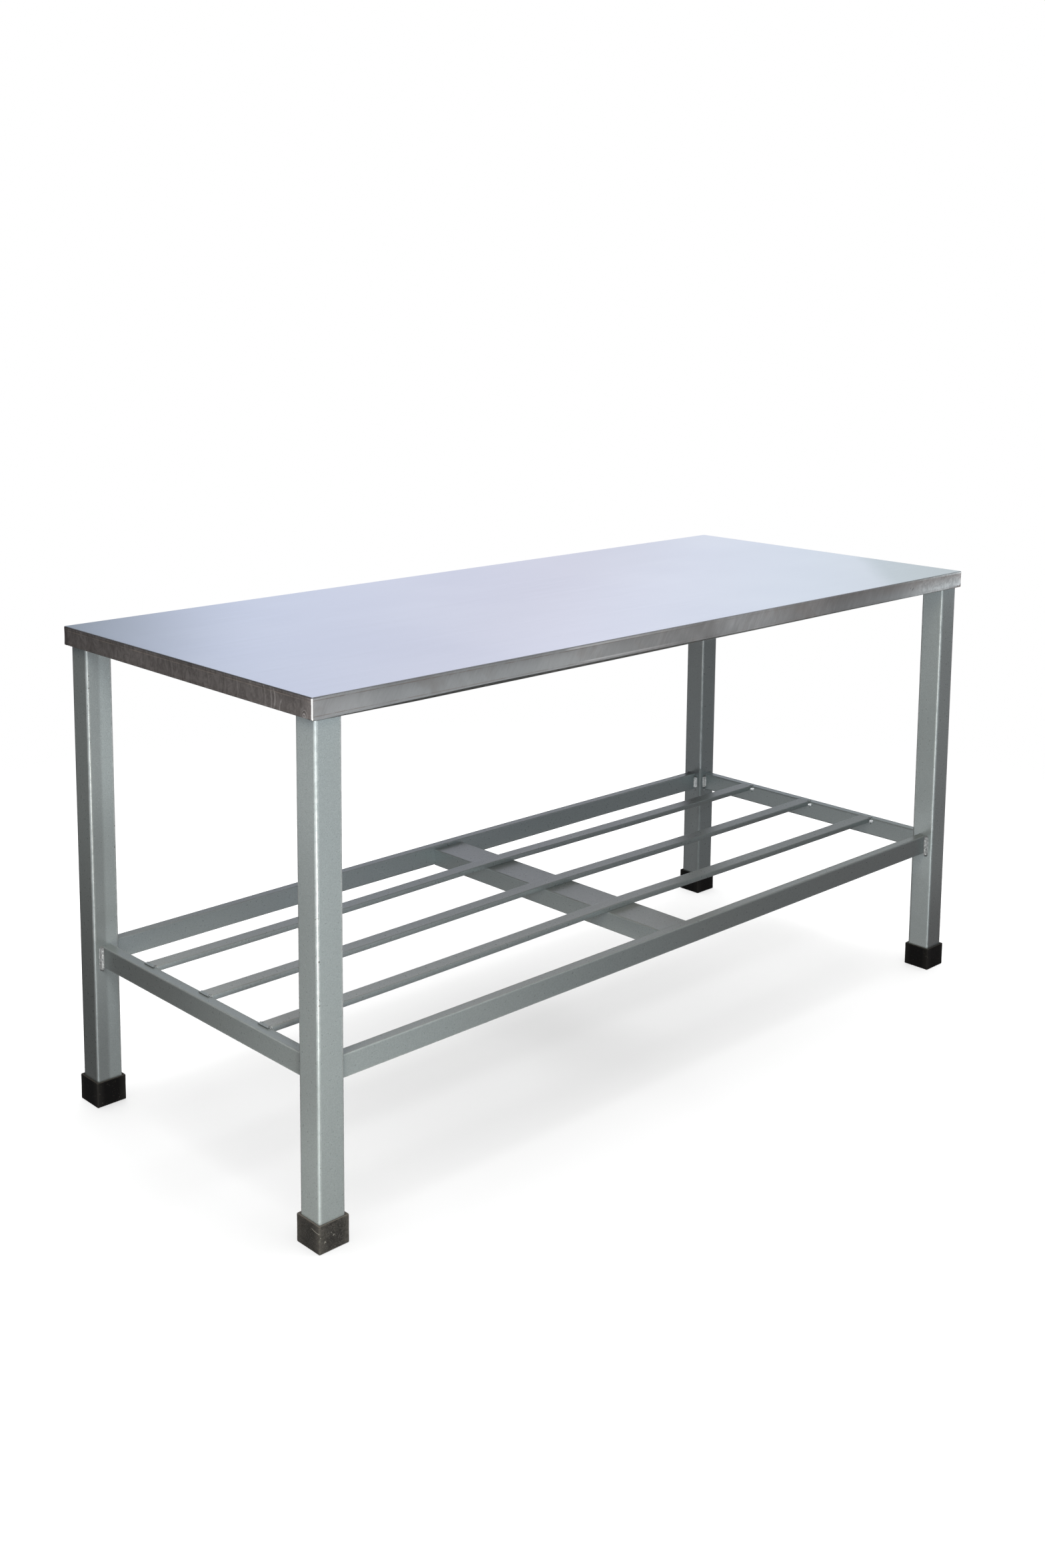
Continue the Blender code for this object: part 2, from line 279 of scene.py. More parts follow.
# ------------------------------------------------------------------ stainless sheet
def stainless():
    g = Graph("stainless_sheet")
    # 1 on the worktop surface, 0 on the folded edges
    top = g.range(g.z, TOP - 0.0016, TOP - 0.0002)
    edge = g.math("SUBTRACT", 1.0, top)
    left = g.range(g.x, -HX + 0.0045, -HX + 0.0010)
    front = g.range(g.y, -HY + 0.0045, -HY + 0.0010)
    along = g.math("ADD", g.x, g.y)          # runs along every folded face
    # fine rolling lines along the length
    grain = g.noise(1.0, 3.0, 0.6, vec=g.scaled((3.0, 900.0, 900.0)))
    grain_2 = g.noise(1.0, 2.0, 0.5, vec=g.scaled((9.0, 2600.0, 2600.0)))
    lines = g.math("ADD", g.math("MULTIPLY", grain, 0.6), g.math("MULTIPLY", grain_2, 0.4))

    def slanted(degrees, across_scale, along_scale, detail, distortion):
        """Strokes that lean at an angle over a folded face."""
        c, s = math.cos(math.radians(degrees)), math.sin(math.radians(degrees))
        run = g.math("ADD", g.math("MULTIPLY", along, c * along_scale),
                     g.math("MULTIPLY", g.z, s * along_scale))
        over = g.math("ADD", g.math("MULTIPLY", along, -s * across_scale),
                      g.math("MULTIPLY", g.z, c * across_scale))
        vec = g.add("ShaderNodeCombineXYZ")
        g.link(over, vec.inputs[0])
        g.link(run, vec.inputs[1])
        return g.noise(1.0, detail, 0.62, distortion, vec=vec.outputs[0])

    # wiped film and rubbing marks on the folded edges
    fine = slanted(62, 330.0, 34.0, 3.0, 0.30)
    broad = slanted(52, 95.0, 20.0, 3.0, 0.55)
    patches = g.noise(11.0, 3.0, 0.55, 0.8)
    swirl = g.noise(48.0, 4.0, 0.60, 2.4)
    stand = slanted(82, 120.0, 26.0, 3.0, 1.1)
    sand = g.noise(900.0, 2.0, 0.6)
    rub = g.math("ADD", g.math("MULTIPLY", fine, 0.45), g.math("MULTIPLY", broad, 0.55))
    rub = g.math("MULTIPLY", g.math("SUBTRACT", rub, 0.5),
                 g.range(patches, 0.34, 0.62, 0.26, 0.90))
    rub = g.math("MULTIPLY", rub, g.range(g.x, HX - 0.24, HX - 0.12, 1.0, 0.45))
    front_level = g.math("ADD", 0.5, rub)
    front_level = g.math("ADD", front_level,
                         g.math("MULTIPLY", g.math("SUBTRACT", sand, 0.5), 0.22))
    front_tone = g.mix(g.range(front_level, 0.34, 0.66), (0.455, 0.465, 0.458),
                       (0.570, 0.584, 0.578))
    front_tone = g.mix(g.math("MULTIPLY", g.range(patches, 0.50, 0.68), 0.55), front_tone,
                       (0.455, 0.440, 0.420))
    # the right end of the front is hazed by fine grinding
    hazed = g.math("MULTIPLY", g.range(g.math("ADD", g.x, g.math("MULTIPLY", broad, 0.10)),
                                       HX - 0.155, HX - 0.085), front)
    front_tone = g.mix(g.math("MULTIPLY", hazed, 0.75), front_tone,
                       g.mix(g.range(g.math("ADD", g.math("MULTIPLY", sand, 0.45),
                                            g.math("MULTIPLY", swirl, 0.55)), 0.40, 0.60),
                             (0.44, 0.450, 0.445), (0.72, 0.730, 0.715)))
    slow = g.math("ADD", g.x, g.math("MULTIPLY", g.math("SUBTRACT", patches, 0.5), 0.10))
    darker = g.math("ADD", g.math("MULTIPLY", g.band(slow, -0.60, 0.12, 0.14), 0.62),
                    g.math("MULTIPLY", g.band(slow, 0.54, 0.09, 0.10), 0.72))
    front_tone = g.mix(darker, front_tone,
                       g.mix(1.0, front_tone, (0.66, 0.67, 0.68), "MULTIPLY"))
    front_tone = g.mix(g.math("MULTIPLY", g.band(slow, 0.16, 0.05, 0.10), 0.80), front_tone,
                       g.mix(1.0, front_tone, (1.40, 1.44, 1.46), "MULTIPLY"))
    left_level = g.math("ADD", g.math("MULTIPLY", swirl, 0.55),
                        g.math("MULTIPLY", stand, 0.45))
    left_level = g.math("ADD", left_level,
                        g.math("MULTIPLY", g.math("SUBTRACT", sand, 0.5), 0.10))
    # the left face is given a darker, browner tone than the front: painted shade over real smears
    left_shaded_tone = g.mix(g.range(left_level, 0.34, 0.66), (0.300, 0.278, 0.264),
                      (0.505, 0.476, 0.456))
    tone = g.mix(left, front_tone, left_shaded_tone)

    def arc(cy, cz, radius, half, soft, squash=1.0, y_from=None, y_to=None):
        """A rubbed ring or hook on the left face."""
        dy = g.math("SUBTRACT", g.y, cy)
        dz = g.math("MULTIPLY", g.math("SUBTRACT", g.z, cz), squash)
        wob = g.math("MULTIPLY", g.math("SUBTRACT", g.noise(150.0, 2.0), 0.5), 0.0016)
        dist = g.math("SQRT", g.math("ADD", g.math("MULTIPLY", dy, dy),
                                     g.math("MULTIPLY", dz, dz)))
        mark = g.band(g.math("ADD", dist, wob), radius, half, soft)
        if y_from is not None:
            mark = g.math("MULTIPLY", mark, g.range(g.y, y_from, y_to))
        return mark

    arcs = g.math("MAXIMUM", g.math("MULTIPLY", arc(-0.3545, 0.8830, 0.0030, 0.0008, 0.0014),
                                    1.0),
                  g.math("MULTIPLY", arc(-0.3550, 0.8835, 0.0072, 0.0003, 0.0010, 0.85), 0.55))
    for cy, cz, radius, squash, power, y_from, y_to in (
            (-0.3550, 0.8830, 0.0100, 0.8, 0.30, -0.356, -0.350),
            (-0.2600, 0.8960, 0.0190, 0.75, 0.75, -0.272, -0.279),
            (-0.2450, 0.8900, 0.0250, 0.65, 0.45, -0.262, -0.270),
            (-0.3030, 0.8830, 0.0120, 0.70, 0.55, -0.300, -0.294),
            (-0.2250, 0.8800, 0.0300, 0.55, 0.35, -0.240, -0.250),
            (-0.1500, 0.8920, 0.0280, 0.60, 0.28, -0.160, -0.172),
            (0.0400, 0.8860, 0.0260, 0.55, 0.25, 0.022, 0.010)):
        arcs = g.math("MAXIMUM", arcs, g.math("MULTIPLY", arc(cy, cz, radius, 0.0004, 0.0022,
                                                              squash, y_from, y_to), power))
    arcs = g.math("MULTIPLY", g.math("MULTIPLY", arcs, left), edge)
    arcs = g.math("MULTIPLY", arcs, g.range(g.noise(210.0, 2.0), 0.30, 0.55, 0.45, 1.0))
    tone = g.mix(g.math("MULTIPLY", arcs, 0.92), tone, (0.98, 0.95, 0.92))

    # faint brown die marks parallel to both bends, clearest on the left half
    wander = g.math("MULTIPLY", g.math("SUBTRACT", g.noise(4.0, 3.0), 0.5), 0.0015)
    zz = g.math("ADD", g.z, wander)
    upper = g.band(zz, TOP - 0.0056, 0.0002, 0.0009)
    upper_2 = g.band(zz, TOP - 0.0072, 0.0003, 0.0010)
    lower = g.band(zz, TOP - 0.0306, 0.0002, 0.0009)
    fade = g.math("MAXIMUM", g.range(g.x, 0.10, -0.45, 0.30, 1.0), left)
    broken = g.math("MULTIPLY", g.range(g.noise(46.0, 3.0, 0.6), 0.36, 0.60, 0.25, 1.0), fade)
    mark = g.math("MAXIMUM", upper, g.math("MULTIPLY", lower, 0.8))
    mark = g.math("MULTIPLY", g.math("MULTIPLY", mark, broken), edge)
    tone = g.mix(g.math("MULTIPLY", mark, g.math("SUBTRACT", 0.62,
                                                 g.math("MULTIPLY", left, 0.30))), tone,
                 g.mix(left, (0.24, 0.175, 0.135), (0.20, 0.15, 0.12)))
    # a light tan line just below the upper die mark on the left face: a painted glint
    painted_glint = g.math("MULTIPLY", g.math("MULTIPLY", upper_2, left),
                   g.range(g.noise(60.0, 2.0), 0.36, 0.60, 0.25, 0.9))
    tone = g.mix(g.math("MULTIPLY", painted_glint, 0.62), tone, (0.74, 0.655, 0.575))
    # rubbed-off dark marks near the right end
    for bx, bz, size in ((0.7100, 0.8960, 0.0042), (0.7010, 0.8985, 0.0028),
                         (0.8945, 0.8845, 0.0050), (0.8955, 0.9020, 0.0034),
                         (0.8850, 0.8835, 0.0030)):
        dx = g.math("SUBTRACT", g.x, bx)
        dz = g.math("SUBTRACT", g.z, bz)
        lean = g.math("MULTIPLY", g.math("SUBTRACT", dx, g.math("MULTIPLY", dz, 0.7)), 1.8)
        dist = g.math("SQRT", g.math("ADD", g.math("MULTIPLY", lean, lean),
                                     g.math("MULTIPLY", dz, dz)))
        dist = g.math("ADD", dist, g.math("MULTIPLY", g.math("SUBTRACT", sand, 0.5), 0.004))
        spot = g.math("MULTIPLY", g.range(dist, size, size * 0.35), front)
        tone = g.mix(g.math("MULTIPLY", g.math("MULTIPLY", spot, edge), 0.75), tone,
                     (0.13, 0.12, 0.115))
    # the worktop's colour turns from blue-grey to a lighter lavender towards the front right and to
    # green-grey at the right end: painted reflection
    surface = g.mix(g.range(g.noise(2.2, 2.0), 0.35, 0.65), (0.739, 0.762, 0.823),
                    (0.773, 0.795, 0.846))
    lie = g.math("SUBTRACT", g.x, g.math("MULTIPLY", g.y, 1.6))
    surface = g.mix(g.range(lie, -0.15, 0.45), surface,
                    g.mix(g.range(g.noise(2.2, 2.0), 0.35, 0.65), (0.822, 0.853, 0.925),
                          (0.858, 0.888, 0.950)))
    lie = g.math("SUBTRACT", g.math("ADD", g.x, g.math("MULTIPLY", g.noise(9.0, 2.0), 0.03)),
                 g.math("MULTIPLY", g.y, 1.05))
    surface = g.mix(g.range(lie, 0.985, 1.075), surface, (0.664, 0.722, 0.762))
    # the worktop's vertical corners are lightened: polished weld seams, brightened further as a
    # painted highlight
    tone = g.mix(g.math("MULTIPLY", g.attribute("edge"), 0.75), tone, (0.92, 0.91, 0.89))
    # painted shade in the tucked band below the crease
    tone = g.mix(g.math("MULTIPLY", g.attribute("shade"), 0.75), tone, (0.12, 0.12, 0.115))
    # two painted highlights on the front's bends, left of the middle
    for z0, half, x0, x1 in ((TOP - 0.0031, 0.0012, -0.356, -0.340),
                             (TOP - 0.0300, 0.0009, -0.330, -0.285)):
        painted_streak = g.band(g.z, z0, half, 0.0009)
        painted_streak = g.math("MULTIPLY", painted_streak, g.range(g.x, x0, x1))
        painted_streak = g.math("MULTIPLY", painted_streak, g.range(g.x, 0.02, -0.20))
        painted_streak = g.math("MULTIPLY", g.math("MULTIPLY", painted_streak, front), edge)
        tone = g.mix(g.math("MULTIPLY", painted_streak, 0.60), tone, (0.93, 0.94, 0.92))
    colour = g.mix(top, tone, surface)
    # scratches and dust nicks on the surface
    nick = g.range(g.voronoi(34.0), 0.018, 0.010)
    nick = g.math("MULTIPLY", nick, g.range(g.noise(5.0, 1.0), 0.60, 0.66))
    colour = g.mix(g.math("MULTIPLY", nick, 0.45), colour, (0.20, 0.22, 0.26))
    g.link(colour, g.bsdf.inputs["Base Color"])
    rough_top = g.range(lines, 0.30, 0.70, 0.205, 0.275, smooth_=False)
    rough_edge = g.math("ADD", g.range(patches, 0.3, 0.7, 0.27, 0.36, smooth_=False),
                        g.math("MULTIPLY", rub, 0.25))
    rough = g.math("ADD", g.math("MULTIPLY", rough_top, top),
                   g.math("MULTIPLY", rough_edge, edge))
    rough = g.math("ADD", rough, g.math("MULTIPLY", nick, 0.2))
    corner = g.math("MULTIPLY", g.attribute("edge"), edge)
    rough = g.math("SUBTRACT", rough, g.math("MULTIPLY", corner, 0.13))
    g.link(rough, g.bsdf.inputs["Roughness"])
    g.set(Metallic=1.0)
    normal = g.bump(lines, 0.10, 0.00004)
    normal = g.bump(g.math("MULTIPLY", rub, edge), 0.25, 0.00006, normal)
    g.link(normal, g.bsdf.inputs["Normal"])
    return g.mat


# ------------------------------------------------------------------ frame paint
def paint(name="frame_paint", bead=False):
    g = Graph(name)
    # only the arris itself, not the face beside it
    edge = g.range(g.attribute("edge"), 0.55, 0.96)
    peel = g.noise(430.0, 2.5, 0.55)
    peel_big = g.noise(170.0, 2.0, 0.5)
    fleck = g.noise(470.0, 2.0, 0.5)
    drift = g.noise(3.0, 3.0, 0.55, 0.4)
    heavy = g.range(g.z, 0.30, 0.86, 0.45, 1.0)
    low, high = (0.392, 0.447, 0.451), (0.455, 0.514, 0.517)
    tone = g.mix(g.range(peel, 0.34, 0.66), low, high)
    # the mottle is strongest high on the legs' front faces
    mottle = g.math("MULTIPLY", g.range(g.z, 0.45, 0.86, 0.45, 1.0),
                    g.range(g.math("ABSOLUTE", g.y), 0.3650, 0.3672, 0.60, 1.0))
    tone = g.mix(g.math("MULTIPLY", g.math("MULTIPLY", g.range(fleck, 0.52, 0.70), 0.42),
                        mottle), tone, (0.60, 0.67, 0.67))
    tone = g.mix(g.math("MULTIPLY", g.math("MULTIPLY", g.range(fleck, 0.47, 0.32), 0.30),
                        mottle), tone, (0.30, 0.35, 0.355))
    tone = g.mix(g.math("MULTIPLY", g.range(drift, 0.46, 0.70), 0.25), tone,
                 (0.455, 0.485, 0.475))
    if bead:
        tone = g.mix(g.range(g.noise(260.0, 3.0, 0.6), 0.35, 0.65), (0.64, 0.675, 0.675),
                     (0.84, 0.87, 0.87))
    else:
        # thin paint and a painted highlight on the arrises, and a few chips through to bare metal
        worn_and_highlight = g.math("MULTIPLY", edge, g.range(g.noise(70.0, 4.0, 0.6), 0.34, 0.66, 0.35, 1.0))
        tone = g.mix(g.math("MULTIPLY", worn_and_highlight, g.range(g.z, 0.3230, 0.3270, 0.24, 0.55)), tone,
                     (0.78, 0.84, 0.84))
        chip = g.math("MULTIPLY", g.range(g.noise(210.0, 2.0, 0.55), 0.665, 0.69),
                      g.range(edge, 0.35, 0.6))
        chip = g.math("MULTIPLY", chip, g.range(g.noise(5.0, 1.0), 0.62, 0.68))
        tone = g.mix(g.math("MULTIPLY", chip, 0.75), tone, (0.13, 0.13, 0.125))
        # chips on the near leg's arris, in two groups
        knock = g.noise(330.0, 2.0, 0.6)
        near = g.math("MULTIPLY", g.range(g.x, -0.8895, -0.8915), g.range(g.y, -0.3655, -0.3690))
        for z_mid, z_half, level in ((0.4130, 0.0080, 0.50), (0.3400, 0.0075, 0.46),
                                     (0.3720, 0.0240, 0.64)):
            knocks = g.math("MULTIPLY", g.band(g.z, z_mid, z_half, 0.002),
                            g.range(knock, level, level + 0.03))
            knocks = g.math("MULTIPLY", knocks, near)
            tone = g.mix(g.math("MULTIPLY", knocks, 0.62), tone, (0.15, 0.15, 0.145))
        # short scratches and a few light specks on the near leg's faces
        for axis, a0, z0, lean, long_, half, power in (
                ("x", -0.8856, 0.8235, 0.26, 0.0060, 0.00035, 0.75),
                ("x", -0.8838, 0.8275, 0.20, 0.0035, 0.00030, 0.50),
                ("x", -0.8595, 0.8335, 0.75, 0.0030, 0.00030, 0.55),
                ("x", -0.8640, 0.8325, 0.75, 0.0032, 0.00030, 0.45),
                ("x", -0.8610, 0.8520, 0.60, 0.0026, 0.00028, 0.45),
                ("x", -0.8720, 0.8380, 0.45, 0.0024, 0.00028, 0.35),
                ("x", -0.8670, 0.8200, 0.60, 0.0026, 0.00028, 0.35),
                ("y", -0.3336, 0.4441, 0.30, 0.0009, 0.00080, 0.80),
                ("y", -0.3352, 0.4452, 0.90, 0.0007, 0.00050, 0.60),
                ("y", -0.3640, 0.3410, 0.90, 0.0012, 0.00035, 0.50),
                ("y", -0.3585, 0.2960, 0.80, 0.0014, 0.00030, 0.35),
                ("y", -0.3570, 0.2870, 0.90, 0.0012, 0.00030, 0.35),
                ("y", -0.3600, 0.7200, -0.80, 0.0060, 0.00030, 0.25)):
            run, other = (g.x, g.y) if axis == "x" else (g.y, g.x)
            wall = g.range(other, -0.3718, -0.3724) if axis == "x" else \
                g.range(other, -0.8926, -0.8934)
            dz = g.math("SUBTRACT", g.z, z0)
            across = g.math("SUBTRACT", g.math("SUBTRACT", run, a0),
                            g.math("MULTIPLY", dz, lean))
            stroke = g.math("MULTIPLY", g.band(across, 0.0, half * 0.4, half),
                            g.band(dz, 0.0, long_ * 0.6, long_ * 0.5))
            stroke = g.math("MULTIPLY", stroke, wall)
            tone = g.mix(g.math("MULTIPLY", stroke, power), tone, (0.93, 0.95, 0.94))
        # a run in the paint of the left rail, and a loop of dried drip on the back rail
        swing = g.math("MULTIPLY", g.math("SINE", g.math("MULTIPLY", g.y, 260.0)), 0.0007)
        path = g.math("ADD", g.math("MULTIPLY", g.math("ADD", g.y, 0.1715), 0.13),
                      g.math("ADD", swing, 0.2957))
        run = g.math("MULTIPLY", g.band(g.math("SUBTRACT", g.z, path), 0.0, 0.0003, 0.0007),
                     g.math("MULTIPLY", g.band(g.y, -0.1715, 0.021, 0.004),
                            g.range(g.x, -0.8732, -0.8738)))
        tone = g.mix(g.math("MULTIPLY", run, 0.32), tone, (0.78, 0.80, 0.79))
        swing = g.math("MULTIPLY", g.math("SINE", g.math("MULTIPLY", g.x, 330.0)), 0.0016)
        path = g.math("ADD", g.math("MULTIPLY", g.math("ADD", g.x, 0.1900), -0.62),
                      g.math("ADD", swing, 0.2910))
        run = g.math("MULTIPLY", g.band(g.math("SUBTRACT", g.z, path), 0.0, 0.0003, 0.0008),
                     g.math("MULTIPLY", g.band(g.x, -0.1900, 0.022, 0.006),
                            g.band(g.y, 0.3330, 0.0012, 0.0006)))
        tone = g.mix(g.math("MULTIPLY", run, 0.30), tone, (0.78, 0.80, 0.79))
    # painted shade: the shelf darkens and warms towards its far right end and its upward faces are
    # warmed, the left rail darkens towards its back end, and the back left leg towards its foot
    face = g.add("ShaderNodeSeparateXYZ")
    g.link(g.add("ShaderNodeNewGeometry").outputs["Normal"], face.inputs[0])
    up = g.range(face.outputs[2], 0.55, 0.90)
    shelf = g.range(g.z, 0.3260, 0.3220)
    middle = g.math("MULTIPLY", g.range(g.math("ABSOLUTE", g.x), 0.8550, 0.8500),
                    g.range(g.math("ABSOLUTE", g.y), 0.3150, 0.3130))
    middle = g.math("MULTIPLY", middle, shelf)
    inside = g.math("MULTIPLY", g.range(g.math("ABSOLUTE", g.x), 0.8368, 0.8360), shelf)
    inside = g.math("MAXIMUM", inside, middle)
    painted_shading = g.mix(g.range(g.x, -0.80, 0.70, smooth_=False), (1.24, 1.22, 1.20),
                 (0.74, 0.735, 0.725))
    tone = g.mix(middle, tone, g.mix(1.0, tone, painted_shading, "MULTIPLY"))
    tone = g.mix(g.math("MULTIPLY", up, inside), tone,
                 g.mix(1.0, tone, (0.99, 0.95, 0.93), "MULTIPLY"))
    front_rail = g.math("MULTIPLY", inside, g.math("MULTIPLY", g.range(g.y, -0.3300, -0.3350),
                                                   g.range(up, 0.5, 0.0)))
    front_rail = g.math("MULTIPLY", front_rail, g.range(g.x, -0.70, 0.25))
    back_rail = g.math("MULTIPLY", inside, g.math("MULTIPLY", g.range(g.y, 0.3300, 0.3350),
                                                  g.range(g.x, -0.40, 0.60)))
    left_rail = g.math("MULTIPLY", g.range(g.x, -0.8600, -0.8680), g.math(
        "MULTIPLY", g.range(g.y, -0.26, 0.20), g.range(g.math("ABSOLUTE", g.y), 0.3200, 0.3140)))
    left_rail = g.math("MULTIPLY", left_rail, g.range(up, 0.5, 0.0))
    # painted light and shade on the legs' faces: parts of the front legs and the back left leg
    # lightened, some faces darkened towards the foot
    near_y, far_y = g.range(g.y, -0.3100, -0.3140), g.range(g.y, 0.3100, 0.3140)
    near_x, far_x = g.range(g.x, -0.8300, -0.8350), g.range(g.x, 0.8300, 0.8350)
    side_x = g.range(g.math("ABSOLUTE", face.outputs[0]), 0.60, 0.90)
    side_y = g.range(g.math("ABSOLUTE", face.outputs[1]), 0.60, 0.90)
    low_leg = g.math("MULTIPLY", g.math("MULTIPLY", near_x, far_y),
                     g.math("MULTIPLY", side_x, g.range(g.z, 0.60, 0.20)))
    low_front = g.math("MULTIPLY", g.math("MULTIPLY", near_x, far_y),
                       g.math("MULTIPLY", side_y, g.range(g.z, 0.30, 0.10)))
    right_low = g.math("MULTIPLY", g.math("MULTIPLY", far_x, near_y),
                       g.math("MULTIPLY", side_y, g.range(g.z, 0.28, 0.06)))
    far_leg = g.math("MULTIPLY", g.math("MULTIPLY", far_x, far_y),
                     g.math("ADD", g.math("MULTIPLY", side_x, 0.38),
                            g.math("MULTIPLY", side_y, 0.24)))
    far_leg = g.math("MULTIPLY", far_leg, g.range(g.z, 0.72, 0.64))
    painted_light = g.math("MULTIPLY", g.math("MULTIPLY", near_x, near_y), side_x)
    painted_light = g.math("MULTIPLY", painted_light, g.math("ADD", 0.15, g.math(
        "ADD", g.range(g.z, 0.55, 0.80), g.range(g.z, 0.30, 0.10))))
    painted_light_right = g.math("MULTIPLY", g.math("MULTIPLY", far_x, near_y), g.math(
        "ADD", g.math("MULTIPLY", side_x, g.range(g.z, 0.08, 0.25)),
        g.math("MULTIPLY", side_y, g.range(g.z, 0.35, 0.60, 0.0, 0.55))))
    painted_light_right = g.math("MULTIPLY", painted_light_right, g.range(g.z, 0.20, 0.24, 0.4, 1.0))
    painted_light = g.math("ADD", painted_light, g.math("MULTIPLY", painted_light_right, 0.75))
    left_high = g.math("MULTIPLY", g.math("MULTIPLY", near_x, far_y),
                       g.math("MULTIPLY", side_y, g.range(g.z, 0.50, 0.66, 0.0, 0.75)))
    painted_light = g.math("ADD", painted_light, left_high)
    # lighten the marked faces: painted light
    tone = g.mix(g.math("MINIMUM", painted_light, 1.0), tone,
                 g.mix(1.0, tone, (1.30, 1.30, 1.30), "MULTIPLY"))
    painted_shading = g.math("ADD", g.math("MULTIPLY", front_rail, 0.42),
                  g.math("MULTIPLY", back_rail, 0.22))
    painted_shading = g.math("ADD", painted_shading, g.math("MULTIPLY", left_rail, 0.42))
    painted_shading = g.math("ADD", painted_shading, g.math("MULTIPLY", low_leg, 0.50))
    painted_shading = g.math("ADD", painted_shading, g.math("ADD", g.math("MULTIPLY", low_front, 0.24),
                                      g.math("MULTIPLY", right_low, 0.45)))
    painted_shading = g.math("ADD", painted_shading, far_leg)
    # darken the marked faces: painted shade
    tone = g.mix(painted_shading, tone, g.mix(1.0, tone, (0.22, 0.20, 0.20), "MULTIPLY"))
    # darken where the shade attribute is set: weld soot and burnt specks, with painted shade at the
    # slats' lap ends and beside the beads
    tone = g.mix(g.math("MULTIPLY", g.attribute("shade"), 0.80), tone, (0.055, 0.055, 0.055))
    # the rails' upper arrises are rubbed dull and lightened as a painted highlight; the legs'
    # arrises keep their gloss
    dull_and_lightened = g.math("MULTIPLY", g.range(g.math("ABSOLUTE", g.x), 0.8755, 0.8745),
                  g.range(g.math("ABSOLUTE", g.y), 0.3585, 0.3570))
    dull_and_lightened = g.math("MULTIPLY", g.math("MULTIPLY", dull_and_lightened, g.range(g.z, 0.3300, 0.3240)),
                  g.range(edge, 0.10, 0.80))
    gloss = g.range(peel_big, 0.3, 0.7, 0.27, 0.35, smooth_=False)
    g.link(g.math("ADD", gloss, g.math("MULTIPLY", dull_and_lightened, 0.36)), g.bsdf.inputs["Roughness"])
    # the dull arrises lightened: painted highlight
    tone = g.mix(g.math("MULTIPLY", dull_and_lightened, 0.15), tone, (0.70, 0.76, 0.76))
    g.link(tone, g.bsdf.inputs["Base Color"])
    g.set(Metallic=0.42 if bead else 0.28, Specular_IOR_Level=0.5)
    height = g.math("ADD", g.math("MULTIPLY", peel, 0.6), g.math("MULTIPLY", peel_big, 0.4))
    height = g.math("MULTIPLY", height, heavy)
    height = g.math("MULTIPLY", height, g.range(edge, 0.2, 0.9, 1.0, 0.2))
    normal = g.bump(height, 0.75, 0.00030)
    g.link(normal, g.bsdf.inputs["Normal"])
    return g.mat


def bright_weld():
    """Bare weld metal, as the small tacks at the slats' ends show it."""
    g = Graph("tack_weld")
    ripple = g.noise(520.0, 3.0, 0.6)
    tone = g.mix(g.range(ripple, 0.35, 0.65), (0.88, 0.90, 0.90), (0.97, 0.98, 0.98))
    tone = g.mix(g.math("MULTIPLY", g.attribute("shade"), 0.80), tone, (0.055, 0.055, 0.055))
    g.link(tone, g.bsdf.inputs["Base Color"])
    g.link(g.range(ripple, 0.3, 0.7, 0.26, 0.36), g.bsdf.inputs["Roughness"])
    g.set(Metallic=0.85, Specular_IOR_Level=0.9)
    g.link(g.bump(ripple, 0.30, 0.00012), g.bsdf.inputs["Normal"])
    return g.mat


